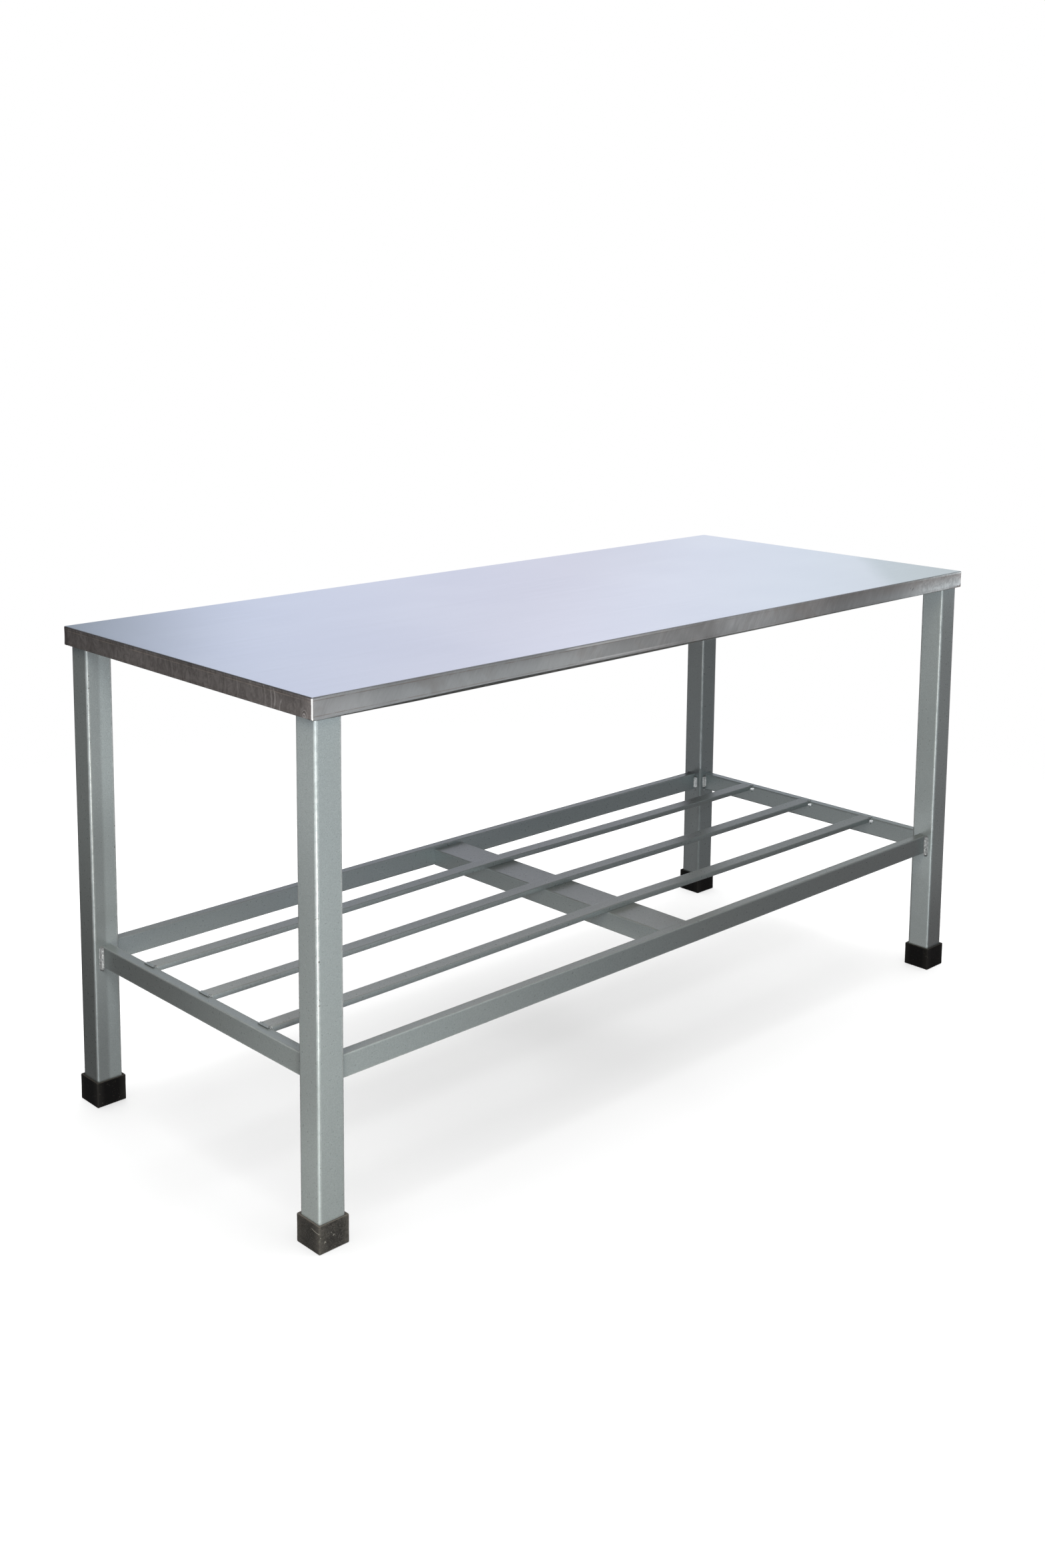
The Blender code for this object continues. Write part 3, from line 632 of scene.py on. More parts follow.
def black_plastic():
    g = Graph("foot_cap")
    edge = g.attribute("edge")
    grain = g.noise(900.0, 3.0, 0.6)
    patch = g.noise(55.0, 5.0, 0.65, 0.8)
    # the front left foot keeps a dusty black; the other feet are made almost black: painted shade
    near = g.math("MULTIPLY", g.range(g.x, -0.6, -0.8), g.range(g.y, 0.0, -0.2))
    low = g.mix(near, (0.0028, 0.0026, 0.0026), (0.040, 0.039, 0.037))
    high = g.mix(near, (0.0055, 0.0052, 0.005), (0.070, 0.068, 0.064))
    tone = g.mix(g.range(patch, 0.35, 0.70), low, high)
    flecks = g.noise(560.0, 3.0, 0.65)
    tone = g.mix(g.math("MULTIPLY", g.math("MULTIPLY", g.range(flecks, 0.52, 0.66), near),
                        0.60), tone, (0.170, 0.166, 0.152))
    tone = g.mix(g.math("MULTIPLY", g.math("MULTIPLY", g.range(flecks, 0.46, 0.34), near),
                        0.55), tone, (0.022, 0.021, 0.021))
    speck = g.math("MULTIPLY", g.range(g.voronoi(420.0), 0.16, 0.08),
                   g.range(g.noise(60.0, 2.0), 0.54, 0.62))
    tone = g.mix(g.math("MULTIPLY", speck, 0.8), tone, (0.28, 0.26, 0.21))
    scrape = g.noise(1.0, 2.0, 0.5, 1.4, vec=g.scaled((180.0, 180.0, 420.0)))
    scrape = g.math("MULTIPLY", g.range(scrape, 0.655, 0.69), g.range(patch, 0.48, 0.62))
    tone = g.mix(g.math("MULTIPLY", scrape, 0.5), tone, (0.17, 0.165, 0.15))
    tone = g.mix(g.math("MULTIPLY", edge, 0.30), tone, (0.10, 0.097, 0.09))
    rubbed = g.math("MULTIPLY", g.math("MULTIPLY", edge, near),
                    g.range(g.noise(160.0, 3.0, 0.6), 0.36, 0.60, 0.35, 1.0))
    tone = g.mix(g.math("MULTIPLY", rubbed, 0.60), tone, (0.200, 0.192, 0.172))
    # a curved scratch on the left face and light nicks on the front face of the near foot
    bend = g.math("ADD", g.math("MULTIPLY", g.math("ADD", g.y, 0.3618), 0.13), 0.0364)
    bend = g.math("ADD", bend, g.math("MULTIPLY", g.math("POWER", g.math(
        "ABSOLUTE", g.math("ADD", g.y, 0.3618)), 2.0), 12.0))
    cut = g.math("MULTIPLY", g.band(g.math("SUBTRACT", g.z, bend), 0.0, 0.0002, 0.0006),
                 g.math("MULTIPLY", g.band(g.y, -0.3618, 0.0090, 0.0015),
                        g.range(g.x, -0.8920, -0.8928)))
    for px, pz, size in ((-0.8640, 0.0256, 0.0010), (-0.8655, 0.0246, 0.0007),
                         (-0.8819, 0.0195, 0.0010), (-0.8832, 0.0182, 0.0007),
                         (-0.8805, 0.0182, 0.0006), (-0.8908, 0.0292, 0.0008),
                         (-0.8690, 0.0310, 0.0006)):
        dx, dz = g.math("SUBTRACT", g.x, px), g.math("SUBTRACT", g.z, pz)
        away = g.math("SQRT", g.math("ADD", g.math("MULTIPLY", dx, dx),
                                     g.math("MULTIPLY", dz, dz)))
        cut = g.math("MAXIMUM", cut, g.math("MULTIPLY", g.range(away, size * 1.25, size * 0.6),
                                            g.range(g.y, -0.3712, -0.3718)))
    tone = g.mix(g.math("MULTIPLY", cut, 0.85), tone, (0.55, 0.54, 0.49))
    dust = g.math("MULTIPLY", g.range(g.z, 0.0476, 0.0488),
                  g.math("ADD", 0.42, g.math("MULTIPLY", near, 0.30)))
    tone = g.mix(dust, tone, (0.17, 0.157, 0.138))
    g.link(tone, g.bsdf.inputs["Base Color"])
    g.link(g.range(patch, 0.3, 0.7, 0.55, 0.78, smooth_=False), g.bsdf.inputs["Roughness"])
    g.set(Specular_IOR_Level=0.16)
    normal = g.bump(grain, 0.35, 0.00012)
    normal = g.bump(g.math("SUBTRACT", patch, g.math("MULTIPLY", speck, 0.6)), 0.5, 0.0004,
                    normal)
    g.link(normal, g.bsdf.inputs["Normal"])
    return g.mat


def chipboard():
    g = Graph("board")
    flake = g.voronoi(210.0, out="Color", vec=g.scaled((1.0, 0.6, 1.0), rotation=(0, 0, 0.5)))
    value = g.add("ShaderNodeRGBToBW")
    g.link(flake, value.inputs[0])
    fine = g.noise(650.0, 4.0, 0.6)
    tone = g.mix(value.outputs[0], (0.34, 0.235, 0.13), (0.60, 0.45, 0.28))
    tone = g.mix(g.math("MULTIPLY", g.range(fine, 0.3, 0.7), 0.35), tone, (0.26, 0.17, 0.09))
    g.link(tone, g.bsdf.inputs["Base Color"])
    g.link(g.range(fine, 0.3, 0.7, 0.72, 0.9), g.bsdf.inputs["Roughness"])
    g.link(g.bump(g.math("ADD", value.outputs[0], fine), 0.4, 0.0004),
           g.bsdf.inputs["Normal"])
    return g.mat


def zinc():
    g = Graph("zinc")
    spangle = g.voronoi(900.0, out="Distance")
    tone = g.mix(g.range(spangle, 0.1, 0.6), (0.62, 0.63, 0.60), (0.74, 0.74, 0.70))
    g.link(tone, g.bsdf.inputs["Base Color"])
    g.link(g.range(g.noise(700.0, 3.0), 0.3, 0.7, 0.28, 0.45), g.bsdf.inputs["Roughness"])
    g.set(Metallic=1.0)
    g.link(g.bump(spangle, 0.2, 0.0001), g.bsdf.inputs["Normal"])
    return g.mat


STEEL = stainless()
PAINT = paint()
BEAD = paint("weld_paint", bead=True)
TACK = bright_weld()
PLASTIC = black_plastic()
BOARD = chipboard()
ZINC = zinc()

# ------------------------------------------------------------------ worktop skin
APRON_DROP = {          # height of the flat face and of the tucked band below it, in metres
    "front": ([(-0.90, 0.0366), (-0.80, 0.0361), (-0.69, 0.0351), (-0.52, 0.0338),
               (-0.27, 0.0343), (0.10, 0.0345), (0.53, 0.0338), (0.90, 0.0347)],
              [(-0.90, 0.0010), (-0.80, 0.0026), (-0.69, 0.0048), (-0.52, 0.0061),
               (-0.27, 0.0052), (0.10, 0.0037), (0.30, 0.0036), (0.53, 0.0030),
               (0.75, 0.0019), (0.90, 0.0011)]),
    "right": ([(-0.4, 0.0345), (0.4, 0.0350)], [(-0.4, 0.0010), (0.4, 0.0010)]),
    "back": ([(-0.9, 0.0350), (0.9, 0.0350)], [(-0.9, 0.0010), (0.9, 0.0012)]),
    "left": ([(-0.4, 0.0352), (0.4, 0.0340)], [(-0.4, 0.0009), (0.4, 0.0009)]),
}


def worktop_skin():
    nx, ny, seg = 96, 40, 5
    corner = 0.0030
    flat = 0.0034
    thickness = 0.0015

    def base(inset):
        """The outline at an inset: front, corner, right, corner, back, corner, left, corner."""
        r = max(corner - inset, 0.0003)
        ex, ey = HX - inset - r, HY - inset - r
        pts = []

        def arc(cx, cy, a0):
            for i in range(1, seg):
                a = math.radians(a0 + 90 * i / seg)
                pts.append((cx + r * math.cos(a), cy + r * math.sin(a), "corner"))

        for i in range(nx + 1):
            pts.append((-ex + 2 * ex * i / nx, -ey - r, "front"))
        arc(ex, -ey, -90)
        for i in range(ny + 1):
            pts.append((ex + r, -ey + 2 * ey * i / ny, "right"))
        arc(ex, ey, 0)
        for i in range(nx + 1):
            pts.append((ex - 2 * ex * i / nx, ey + r, "back"))
        arc(-ex, ey, 90)
        for i in range(ny + 1):
            pts.append((-ex - r, ey - 2 * ey * i / ny, "left"))
        arc(-ex, -ey, 180)
        return pts

    outline = base(0.0)
    face_h, band_h = [], []
    for x, y, side in outline:
        if side == "corner":
            key = ("front" if y < 0 else "back") if abs(x) < HX - 0.0015 else \
                ("left" if x < 0 else "right")
            t = x if key in ("front", "back") else y
        else:
            key = side
            t = x if side in ("front", "back") else y
        face_h.append(curve(t, APRON_DROP[key][0]))
        band_h.append(curve(t, APRON_DROP[key][1]))
    # ease the step between neighbouring sides at the corners
    for _ in range(3):
        for row in (face_h, band_h):
            before = list(row)
            for i, (x, y, side) in enumerate(outline):
                if abs(abs(x) - HX) < 0.006 and abs(abs(y) - HY) < 0.006:
                    row[i] = (before[i - 1] + before[i] + before[(i + 1) % len(row)]) / 3

    rt = 0.0020
    rows = []           # each row: (inset, z) per outline point
    count = len(outline)
    for a in (0, 22, 45, 68, 90):
        t = math.radians(a)
        rows.append([(rt - rt * math.sin(t), TOP - rt + rt * math.cos(t))] * count)
    rows.append([(0.0, TOP - 0.0049)] * count)
    rows.append([(0.00006, TOP - 0.0055)] * count)
    for part in (0.3, 0.5, 0.7):
        rows.append([(0.00006 + 0.00028 * math.sin(math.pi * part),
                      TOP - 0.0055 - (face_h[i] - 0.0110) * part) for i in range(count)])
    rows.append([(0.00006, TOP - face_h[i] + 0.0055) for i in range(count)])
    rows.append([(0.0, TOP - face_h[i] + 0.0049) for i in range(count)])
    rows.append([(0.0, TOP - face_h[i] + 0.0006) for i in range(count)])
    rows.append([(0.00012, TOP - face_h[i] + 0.0001) for i in range(count)])
    for part, tuck in ((0.06, 0.07), (0.2, 0.24), (0.5, 0.55), (0.8, 0.84)):
        rows.append([(0.00012 + tuck * (0.0012 + 0.35 * band_h[i]),
                      TOP - face_h[i] - part * band_h[i]) for i in range(count)])
    rows.append([(0.0018 + 0.42 * band_h[i], TOP - face_h[i] - 0.97 * band_h[i])
                 for i in range(count)])
    rows.append([(0.0028 + 0.42 * band_h[i], TOP - face_h[i] - band_h[i])
                 for i in range(count)])
    rows.append([(0.0068, TOP - face_h[i] - band_h[i]) for i in range(count)])
    rows.append([(0.0070, TOP - face_h[i] - band_h[i] + 0.0002) for i in range(count)])
    rows.append([(0.0070, TOP - face_h[i] - band_h[i] + 0.0012) for i in range(count)])
    rows.append([(0.0068, TOP - face_h[i] - band_h[i] + 0.0014) for i in range(count)])
    rows.append([(0.0030, TOP - face_h[i] - band_h[i] + 0.0014) for i in range(count)])
    rows.append([(thickness, TOP - face_h[i] + 0.0010) for i in range(count)])
    rows.append([(thickness, TOP - 0.0036)] * count)
    rows.append([(thickness + 0.0004, TOP - thickness - 0.0002)] * count)
    rows.append([(thickness + 0.0010, TOP - thickness)] * count)

    # long soft wander of the folded faces, never outside the box
    def wander(x, y, z):
        w = noise.noise(Vector((x * 2.1 + 4.0, y * 2.1, z * 9.0)))
        w += 0.45 * noise.noise(Vector((x * 6.0, y * 6.0 + 2.0, z * 30.0)))
        return 0.00022 * (w + 0.9)

    bm = bmesh.new()
    layer = bm.verts.layers.float.new("edge")
    shade = bm.verts.layers.float.new("shade")
    rings = []
    for r, row in enumerate(rows):
        cache = {}
        ring = []
        for i, (inset, z) in enumerate(row):
            x0, y0, side = outline[i]
            if 4 <= r <= 12:
                fade = min(1.0, (HX - abs(x0)) / 0.03 if side in ("front", "back") else
                           (HY - abs(y0)) / 0.03)
                inset = inset + wander(x0, y0, z) * max(0.0, fade)
            key = round(inset, 7)
            if key not in cache:
                cache[key] = base(inset)
            x, y, _ = cache[key][i]
            v = bm.verts.new((x, y, z))
            v[layer] = 1.0 if side == "corner" else 0.0
            # the rows from the tucked band inwards carry a little painted shade
            v[shade] = 0.0 if r < 15 else 0.12
            ring.append(v)
        rings.append(ring)
    for a, b in zip(rings, rings[1:]):
        for j in range(count):
            k = (j + 1) % count
            bm.faces.new((a[j], b[j], b[k], a[k]))
    bm.faces.new(rings[-1])          # underside of the sheet, against the board

    # worktop surface: a grid inside the first ring, with a very slight unevenness
    ex, ey = HX - flat, HY - flat
    grid = []
    for j in range(ny + 1):
        line = []
        for i in range(nx + 1):
            x, y = -ex + 2 * ex * i / nx, -ey + 2 * ey * j / ny
            inside = min(1.0, (ex - abs(x)) / 0.05) * min(1.0, (ey - abs(y)) / 0.05)
            w = noise.noise(Vector((x * 2.3, y * 3.1, 1.7)))
            w += 0.4 * noise.noise(Vector((x * 5.5, y * 7.0, 8.2)))
            z = TOP - 0.00030 * inside * max(0.0, min(1.0, 0.5 + 0.6 * w))
            v = bm.verts.new((x, y, z))
            v[layer] = 0.0
            line.append(v)
        grid.append(line)
    for j in range(ny):
        for i in range(nx):
            bm.faces.new((grid[j][i], grid[j][i + 1], grid[j + 1][i + 1], grid[j + 1][i]))
    ring = rings[0]
    f0 = 0
    r0 = f0 + nx + 1 + seg - 1
    b0 = r0 + ny + 1 + seg - 1
    l0 = b0 + nx + 1 + seg - 1
    for i in range(nx):
        bm.faces.new((ring[f0 + i], ring[f0 + i + 1], grid[0][i + 1], grid[0][i]))
        bm.faces.new((ring[b0 + i], ring[b0 + i + 1], grid[ny][nx - i - 1], grid[ny][nx - i]))
    for j in range(ny):
        bm.faces.new((ring[r0 + j], ring[r0 + j + 1], grid[j + 1][nx], grid[j][nx]))
        bm.faces.new((ring[l0 + j], ring[l0 + j + 1], grid[ny - j - 1][0], grid[ny - j][0]))
    for start, hub in ((f0 + nx, grid[0][nx]), (r0 + ny, grid[ny][nx]),
                       (b0 + nx, grid[ny][0]), (l0 + ny, grid[0][0])):
        for i in range(seg):
            bm.faces.new((ring[(start + i) % count], ring[(start + i + 1) % count], hub))
    return finish_piece("worktop_skin", bm, STEEL, ("worktop_sheet",), 32)


worktop_skin()

# ------------------------------------------------------------------ legs
for n, tag in enumerate(LEGS):
    lo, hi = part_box("leg_" + tag)
    cx, cy = (lo.x + hi.x) / 2, (lo.y + hi.y) / 2
    sweep_tube("leg_tube_" + tag, (cx, cy, lo.z), (cx, cy, hi.z), (0, 1, 0),
               hi.x - lo.x, hi.y - lo.y, 0.002, 0.0041, PAINT,
               ("leg_" + tag,), seed=1.7 + n, sink=0.00004)

# ------------------------------------------------------------------ lower rails
for n, tag in enumerate(("front", "back")):
    lo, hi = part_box("shelf_rail_" + tag)
    cy, cz = (lo.y + hi.y) / 2, (lo.z + hi.z) / 2
    sweep_tube("rail_tube_" + tag, (lo.x - 0.0004, cy, cz), (hi.x + 0.0004, cy, cz),
               (0, 0, 1), hi.y - lo.y, hi.z - lo.z, 0.0015, 0.0015, PAINT,
               ("shelf_rail_" + tag,), seed=7.3 + n, bow=0.0034 if tag == "back" else 0.0)
for n, tag in enumerate(("left", "right")):
    lo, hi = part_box("shelf_rail_" + tag)
    cx, cz = (lo.x + hi.x) / 2, (lo.z + hi.z) / 2
    sweep_tube("rail_tube_" + tag, (cx, lo.y - 0.0004, cz), (cx, hi.y + 0.0004, cz),
               (0, 0, 1), hi.x - lo.x, hi.z - lo.z, 0.0015, 0.0015, PAINT,
               ("shelf_rail_" + tag,), seed=11.9 + n)

lo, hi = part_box("shelf_cross_tube")
cx, cz = (lo.x + hi.x) / 2, (lo.z + hi.z) / 2
sweep_tube("cross_tube", (cx, lo.y - 0.0004, cz), (cx, hi.y + 0.0004, cz), (0, 0, 1),
           hi.x - lo.x, hi.z - lo.z, 0.002, 0.0017, PAINT,
           ("shelf_cross_tube",), seed=15.1, sink=0.0002)


# ------------------------------------------------------------------ slats
def slat(tag, seed):
    """Folded channel with rounded bends, lifted over the cross tube like the solid it
    stands for, its web running on over the end rails."""
    node = "shelf_slat_" + tag
    lo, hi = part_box(node)
    cy = (lo.y + hi.y) / 2
    hw, deep, t, r = (hi.y - lo.y) / 2, 0.010, 0.0015, 0.0016
    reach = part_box("shelf_rail_right")[0].x
    z_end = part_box("shelf_rail_right")[1].z + 0.0003 + t
    rise = hi.z - z_end
    cross_lo, cross_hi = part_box("shelf_cross_tube")
    flat = (cross_hi.x - cross_lo.x) / 2 + 0.001

    def lift(x):
        u = max(0.0, (abs(x) - flat) / (reach - flat))
        return rise * max(0.0, 1 - u / 0.8) ** 1.5

    def arc(px, pz, rad, a0, a1, k):
        return [(px + rad * math.cos(math.radians(a0 + (a1 - a0) * i / k)),
                 pz + rad * math.sin(math.radians(a0 + (a1 - a0) * i / k)))
                for i in range(k + 1)]

    crown = 0.00012
    top = [(-0.6 * hw, -0.0), (0.0, -crown), (0.6 * hw, -0.0), (hw - r - 0.0012, 0.0)]
    top += arc(hw - r, -r, r, 90, 0, 5)
    right = [(hw, -r - 0.0012), (hw, -deep + 0.0009), (hw - 0.0002, -deep + 0.0002),
             (hw - 0.0006, -deep), (hw - t + 0.0002, -deep), (hw - t, -deep + 0.0002)]
    under = [(hw - t, -t - 0.0006), (hw - t - 0.0006, -t), (-hw + t + 0.0006, -t),
             (-hw + t, -t - 0.0006)]
    left = [(-hw + t, -deep + 0.0002), (-hw + t - 0.0002, -deep), (-hw + 0.0006, -deep),
            (-hw + 0.0002, -deep + 0.0002), (-hw, -deep + 0.0009), (-hw, -r - 0.0012)]
    back = arc(-hw + r, -r, r, 180, 90, 5) + [(-hw + r + 0.0012, 0.0)]
    section = top + right + under + left + back
    inner = reach - 0.0003
    stations = [-inner, -inner + 0.004]
    n = 56
    stations += [-inner + 0.02 + (2 * inner - 0.04) * i / n for i in range(n + 1)]
    stations += [inner - 0.004, inner]
    bm = bmesh.new()
    layer = bm.verts.layers.float.new("edge")
    shade = bm.verts.layers.float.new("shade")
    rows = []
    for x in stations:
        row = []
        for y, z in section:
            e = math.exp(-math.hypot(abs(y) - hw, z) / 0.002)
            w = 0.00015 * noise.noise(Vector((x * 5, y * 9 + seed, z * 9)))
            v = bm.verts.new((x, cy + y, z_end + lift(x) + z + min(0, w)))
            v[layer] = e
            row.append(v)
        rows.append(row)
    m = len(section)
    for a, b in zip(rows, rows[1:]):
        for i in range(m):
            j = (i + 1) % m
            bm.faces.new((a[i], a[j], b[j], b[i]))
    bm.faces.new(rows[0])
    bm.faces.new(rows[-1])

    # the two laps: a thin web with a slightly uneven sheared end, resting on the rails
    for sign in (-1, 1):
        tip = (hi.x if sign > 0 else lo.x)
        across = 8
        lap = []
        for i in range(across + 1):
            y = -hw + 0.0008 + (2 * hw - 0.0016) * i / across
            ragged = 0.0004 * noise.noise(Vector((i * 1.3, seed * 3.1, sign * 2.0)))
            lap.append((y, tip - sign * (0.0003 + abs(ragged))))
        z0, z1 = z_end - t + 0.0001, z_end
        root_x = sign * (inner - 0.0015)
        ease = 0.0003
        loops = []
        for dz, pull in ((z0, ease), (z0 + ease, 0.0), (z1 - ease, 0.0), (z1, ease)):
            loops.append([bm.verts.new((x - sign * pull, cy + y, dz)) for y, x in lap] +
                         [bm.verts.new((root_x, cy + y, dz)) for y, x in reversed(lap)])
        k = len(loops[0])
        for a, b in zip(loops, loops[1:]):
            for i in range(k):
                j = (i + 1) % k
                bm.faces.new((a[i], a[j], b[j], b[i]))
        # the sheared ends of the laps stand in shadow: painted shade
        for loop in loops[:3]:
            for v in loop[:across + 1]:
                v[shade] = 1.0
        bm.faces.new(loops[0])
        bm.faces.new(loops[-1])
    return finish_piece("slat_" + tag, bm, PAINT, (node,), 40)


for n, tag in enumerate(("front", "middle", "back")):
    slat(tag, 2.0 + n)


# ------------------------------------------------------------------ weld beads
def add_bead(bm, layer, corner, along, face_a, face_b, length, leg, ripple=0.0016, seed=0.0,
             bulge=0.62, dark=None):
    """Fillet bead in the corner of two faces. face_a and face_b point along the faces, away
    from the corner. The bead has rounded ends and a fish-scale ripple."""
    corner, along = Vector(corner), Vector(along).normalized()
    a, b = Vector(face_a), Vector(face_b)
    n = max(10, int(length / 0.0005))
    across = 8
    rows = []
    for i in range(n + 1):
        s = i / n
        end = (1 - abs(2 * s - 1) ** 7) ** (1 / 3.0)
        row = []
        for j in range(across + 1):
            t = j / across
            q = math.radians(90 * t)
            chord = (1 - t, t)
            rnd = (math.cos(q), math.sin(q))
            u = chord[0] * (1 - bulge) + rnd[0] * bulge
            v = chord[1] * (1 - bulge) + rnd[1] * bulge
            phase = s * length / ripple * 2 * math.pi - 2.6 * math.sin(math.pi * t)
            size = leg * end * (1 + 0.05 * math.sin(phase) * math.sin(math.pi * t) +
                                0.11 * noise.noise(Vector((s * length * 260 + seed, t * 2.0,
                                                           seed))))
            p = corner + along * (length * (s - 0.5)) + a * (u * size) + b * (v * size)
            row.append(bm.verts.new(p))
        row.append(bm.verts.new(corner + along * (length * (s - 0.5)) -
                                (a + b) * 0.0004))
        rows.append(row)
    m = across + 2
    for r0, r1 in zip(rows, rows[1:]):
        for j in range(m):
            k = (j + 1) % m
            bm.faces.new((r0[j], r0[k], r1[k], r1[j]))
    bm.faces.new(rows[0])
    bm.faces.new(rows[-1])
    # soot and painted shade at the toes and the ends of the bead; a bead given dark is darkened all
    # over
    shade = bm.verts.layers.float["shade"]
    for i, row in enumerate(rows):
        end = max(0.0, 1 - min(i, n - i) * length / n / 0.0012)
        for j, v in enumerate(row):
            v[layer] = 0.0
            v[shade] = dark if dark is not None else \
                max(end, 0.30 if j in (0, across) else 0.0)


def add_blob(bm, layer, centre, size, squash, seed, dark=0.0):
    """Small lump of weld or spatter."""
    made = bmesh.ops.create_icosphere(bm, subdivisions=2, radius=1.0)
    for v in made["verts"]:
        d = v.co.copy()
        k = 1 + 0.28 * noise.noise(d * 1.6 + Vector((seed, seed * 1.7, 0)))
        v.co = Vector(centre) + Vector((d.x * squash[0], d.y * squash[1], d.z * squash[2])) \
            * size * k
        v[layer] = 0.0
        v[bm.verts.layers.float["shade"]] = dark


def new_beads():
    bm = bmesh.new()
    layer = bm.verts.layers.float.new("edge")
    bm.verts.layers.float.new("shade")
    return bm, bm.verts.layers.float["edge"]


RAIL_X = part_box("shelf_rail_front")          # its ends meet the legs
RAIL_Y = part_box("shelf_rail_left")
rail_mid = (RAIL_X[0].z + RAIL_X[1].z) / 2
leg_in_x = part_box("leg_front_right")[0].x
leg_in_y = -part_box("leg_front_left")[1].y

for tag in LEGS:
    sx = 1 if "right" in tag else -1
    sy = 1 if "back" in tag else -1
    bm, layer = new_beads()
    # long rail into this leg: outer corner a full bead, inner corner a shorter one
    outer_y = sy * (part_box("shelf_rail_back")[1].y)
    inner_y = sy * (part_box("shelf_rail_back")[0].y)
    x = sx * leg_in_x
    # larger dark beads behind the bright ones: soot and painted shade beside each bead
    for corner_y, mid_z, side, size, long_ in (
            (outer_y, rail_mid - 0.0040, sy, 0.0070, 0.049),
            (inner_y, rail_mid - 0.0030, -sy, 0.0062, 0.031)):
        add_bead(bm, layer, (x, corner_y, mid_z), (0, 0, 1), (-sx, 0, 0), (0, side, 0),
                 long_, size, seed=5.0 + sx + 2 * sy, bulge=0.0, dark=0.62)
    add_bead(bm, layer, (x, outer_y, rail_mid - 0.0040), (0, 0, 1), (-sx, 0, 0), (0, sy, 0),
             0.046, 0.0062, seed=3.0 + sx + 2 * sy)
    add_blob(bm, layer, (x - sx * 0.0016, outer_y + sy * 0.0018, rail_mid - 0.0215), 0.0046,
             (0.95, 0.95, 1.25), 2.0 + sx + sy)
    add_bead(bm, layer, (x, inner_y, rail_mid - 0.0050), (0, 0, 1), (-sx, 0, 0), (0, -sy, 0),
             0.025, 0.0050, seed=9.0 + sx + 2 * sy)
    add_blob(bm, layer, (x - sx * 0.0006, inner_y - sy * 0.0008, rail_mid - 0.0235), 0.0016,
             (1, 1, 1.1), 4.0 + sx)
    # end rail into this leg
    outer_x = sx * (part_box("shelf_rail_right")[1].x)
    inner_x = sx * (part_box("shelf_rail_right")[0].x)
    y = sy * leg_in_y
    full = 0.0056 if sy > 0 else 0.0068
    # larger dark beads behind the bright ones here too: soot and painted shade
    for corner_x, mid_z, side, size, long_ in (
            (outer_x, rail_mid - 0.0032, sx, full + 0.0009, 0.0485),
            (inner_x, rail_mid - 0.0010, -sx, 0.0062, 0.031)):
        add_bead(bm, layer, (corner_x, y, mid_z), (0, 0, 1), (side, 0, 0), (0, -sy, 0),
                 long_, size, seed=15.0 + sx + 2 * sy, bulge=0.0, dark=0.62)
    add_bead(bm, layer, (outer_x, y, rail_mid - 0.0030), (0, 0, 1), (sx, 0, 0), (0, -sy, 0),
             0.045, full, seed=13.0 + sx + 2 * sy)
    add_bead(bm, layer, (inner_x, y, rail_mid - 0.0020), (0, 0, 1), (-sx, 0, 0), (0, -sy, 0),
             0.025, 0.0050, seed=19.0 + sx + 2 * sy)
    add_blob(bm, layer, (inner_x - sx * 0.0008, y - sy * 0.0006, rail_mid - 0.0225), 0.0016,
             (1, 1, 1.1), 6.0 + sy)
    finish_piece("weld_beads_" + tag, bm, BEAD, (), 60)

# tacks under the slats' ends and spatter at the laps
for n, tag in enumerate(("front", "middle", "back")):
    lo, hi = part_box("shelf_slat_" + tag)
    bm, layer = new_beads()
    bright, shine = new_beads()
    z_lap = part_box("shelf_rail_right")[1].z + 0.0018
    for sx in (-1, 1):
        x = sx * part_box("shelf_rail_right")[0].x
        for y, out in ((lo.y, -1), (hi.y, 1)):
            for dx, dy, z, size, squash in (
                    (0.0038, 0.0012, 0.3046, 0.0022, (1.30, 0.9, 0.80)),
                    (0.0012, 0.0042, 0.3052, 0.0020, (0.9, 1.0, 0.80))):
                add_blob(bright, shine, (x - sx * dx, y + out * dy, z), size, squash,
                         1.3 * n + sx + out + 40 * dx)
            add_bead(bright, shine, (x, y, 0.3060), (0, 0, 1), (-sx, 0, 0), (0, out, 0),
                     0.0072, 0.0060, seed=1.3 * n + sx + out, bulge=0.30, dark=0.0)
            add_blob(bm, layer, (x - sx * 0.0006, y + out * 0.0012, 0.3128), 0.0012,
                     (1.0, 1.0, 0.9), 1.3 * n + sx + out)
            for dx, dy, z, size in ((0.0004, 0.0078, 0.3040, 0.0009),
                                    (0.0008, 0.0004, 0.2990, 0.0010)):
                add_blob(bm, layer, (x - sx * dx, y + out * dy, z), size, (1.0, 1.0, 0.9),
                         1.9 * n + sx + out + 40 * dx, dark=0.9)
        # lumps and burnt specks on top of the lap at its corners
        for dx, dy, size, dark in ((0.0035, 0.0065, 0.0012, 0.0), (0.0012, 0.0026, 0.0010, 0.0),
                                   (-0.0016, 0.0010, 0.0013, 0.0), (0.0022, 0.0036, 0.0009, 0.9),
                                   (0.0002, 0.0050, 0.0010, 1.0), (-0.0028, 0.0040, 0.0008, 1.0),
                                   (0.0030, 0.0018, 0.0008, 0.8)):
            jitter = 0.0006 * (rng.random() - 0.5)
            add_blob(bm, layer, (x + sx * (dx + jitter), lo.y + dy + jitter, z_lap), size,
                     (1, 1, 0.5), 5.1 * dx + n, dark=dark)
    finish_piece("weld_spatter_" + tag, bm, BEAD, (), 60)
    finish_piece("weld_tacks_" + tag, bright, TACK, (), 60)


